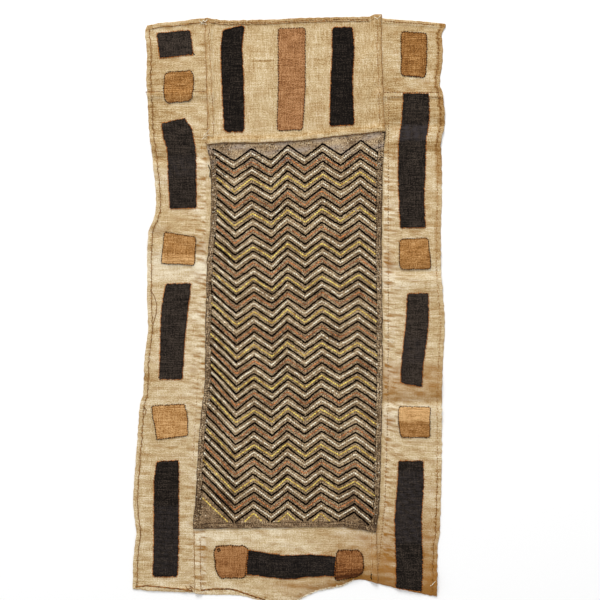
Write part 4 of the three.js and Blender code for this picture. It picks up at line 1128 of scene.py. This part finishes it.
# Loose threads and knots, each a broken line: colour, then its points
looseRows = [
    ("pale", [(201, -64), (205, -70), (209, -68), (208, -62), (204, -62), (205, -68)]),
    ("pale", [(282, -556), (287, -551), (291.5, -546)]), ("pale", [(203, -84), (206, -80)]),
    ("pale", [(-180, 574), (-175, 571), (-172, 575), (-168, 572), (-164, 576)]),
    ("pale", [(-178, 568), (-171, 570), (-166, 567)]), ("pale", [(170, 582), (176, 578), (182, 584)]),
    ("seam", [(-277.5, 36), (-270, 24), (-265.5, 8), (-266, -10), (-273, -34)]),
    ("seam", [(-293, -196), (-286, -204), (-289, -214)]),
    ("pale", [(-174, 338), (-168, 344), (-160, 346), (-153, 343)]),
    ("pale", [(-172, 346), (-164, 351), (-160, 358)]), ("seam", [(-168, 331), (-162, 326), (-156, 326)]),
    ("dark", [(186, 352), (191, 350), (191, 344), (189, 336)]),
    ("dark", [(-144, -484), (-140, -481), (-138, -485), (-142, -487), (-143, -484)]),
    ("dark", [(-193, 510), (-190, 507)]), ("dark", [(164.5, -531), (163.6, -536), (164.2, -542)]),
    ("dark", [(-134, 270), (-129, 266), (-131, 262)]), ("dark", [(-162, 286), (-158, 276), (-159, 262)]),
    ("dark", [(-158, 52), (-155, 40), (-156, 30), (-153, 22)]), ("dark", [(-157, -262), (-160, -276)]),
    ("dark", [(-132, 264), (-126, 268)]), ("dark", [(118, -120), (124, -124)]),
    ("dark", [(36, 80), (41, 84)]), ("seam", [(-208, -556), (-203, -562), (-197, -560), (-194, -565)]),
    ("seam", [(-199, -556), (-192, -561)])]
# The frayed selvedge along the lower edge on the right: short pale threads, mostly along it
fray = np.random.default_rng(41)
frayX = fray.uniform(14, 128, 130)
frayAt = np.stack([frayX, bottomEdge(frayX) + fray.uniform(-1.0, 2.2, 130)], 1)
frayTurn = 0.45 + fray.normal(0, 0.4, 130)
frayWay = np.stack([np.cos(frayTurn), np.sin(frayTurn)], 1) * fray.uniform(1.5, 4.2, (130, 1))
loose = {"pale": [[frayAt - frayWay], [frayAt + frayWay]], "seam": [[], []], "dark": [[], []]}
for count, (kind, row) in enumerate(looseRows):
    keep(loose[kind], stemStitch(np.array(row, float), 3.6, 1.7, 0.0, 950 + count))
loosePieces = [sewStitches(
    kind + "Loose", np.concatenate(starts), np.concatenate(ends),
    thread["black" if kind == "dark" else kind], "raffia_plain",
    wide=1.8 if kind == "dark" else 1.2, high=1.0, lift=0.5) for kind, (starts, ends) in loose.items()]
print("seams sewn")


# The set, in metres: the floor, the light from all round, one soft lamp, and the camera above
floorLook = dict(half=6, level=-0.0002, grey=0.95, rough=0.9)
lamp = dict(place=(-0.9, 5.0, 3.6), size=2.6, watts=300)
view = dict(x=0.0215, y=0.016, across=1.2, above=0.004, lens=85.0, sensor=36.0)
floorMesh = bpy.data.meshes.new("floor")
floorCorners = [(a * floorLook["half"], b * floorLook["half"], floorLook["level"])
                for a, b in ((-1, -1), (1, -1), (1, 1), (-1, 1))]
floorMesh.from_pydata(floorCorners, [], [(0, 1, 2, 3)])
floorMesh.materials.append(newMaterial("floor", **{
    "Base Color": (*[floorLook["grey"]] * 3, 1), "Roughness": floorLook["rough"]})[0])
floor = placeObject("floor", floorMesh)

world = bpy.data.worlds.new("studio")
world.use_nodes = True
world.node_tree.nodes["Background"].inputs["Color"].default_value = (1, 1, 1, 1)
world.node_tree.nodes["Background"].inputs["Strength"].default_value = 0.7
bpy.context.scene.world = world
bpy.context.scene.view_settings.view_transform = "Standard"     # colours as painted

light = bpy.data.lights.new("topLight", "AREA")
light.size, light.energy = lamp["size"], lamp["watts"]
topLight = placeObject("topLight", light)
topLight.location = lamp["place"]
wayX, wayY, wayZ = [-float(part) for part in lamp["place"]]     # towards the cloth's middle
topLight.rotation_euler = (math.atan2(math.hypot(wayX, wayY), -wayZ), 0, math.atan2(wayY, wayX) - math.pi / 2)

camera = placeObject("camera", bpy.data.cameras.new("camera"))
camera.data.lens, camera.data.sensor_width = view["lens"], view["sensor"]
camera.location = (view["x"], view["y"], view["across"] * view["lens"] / view["sensor"] + view["above"])
camera.data.clip_start, camera.data.clip_end = 0.05, 50
bpy.context.scene.camera = camera
print("floor, light and camera set")
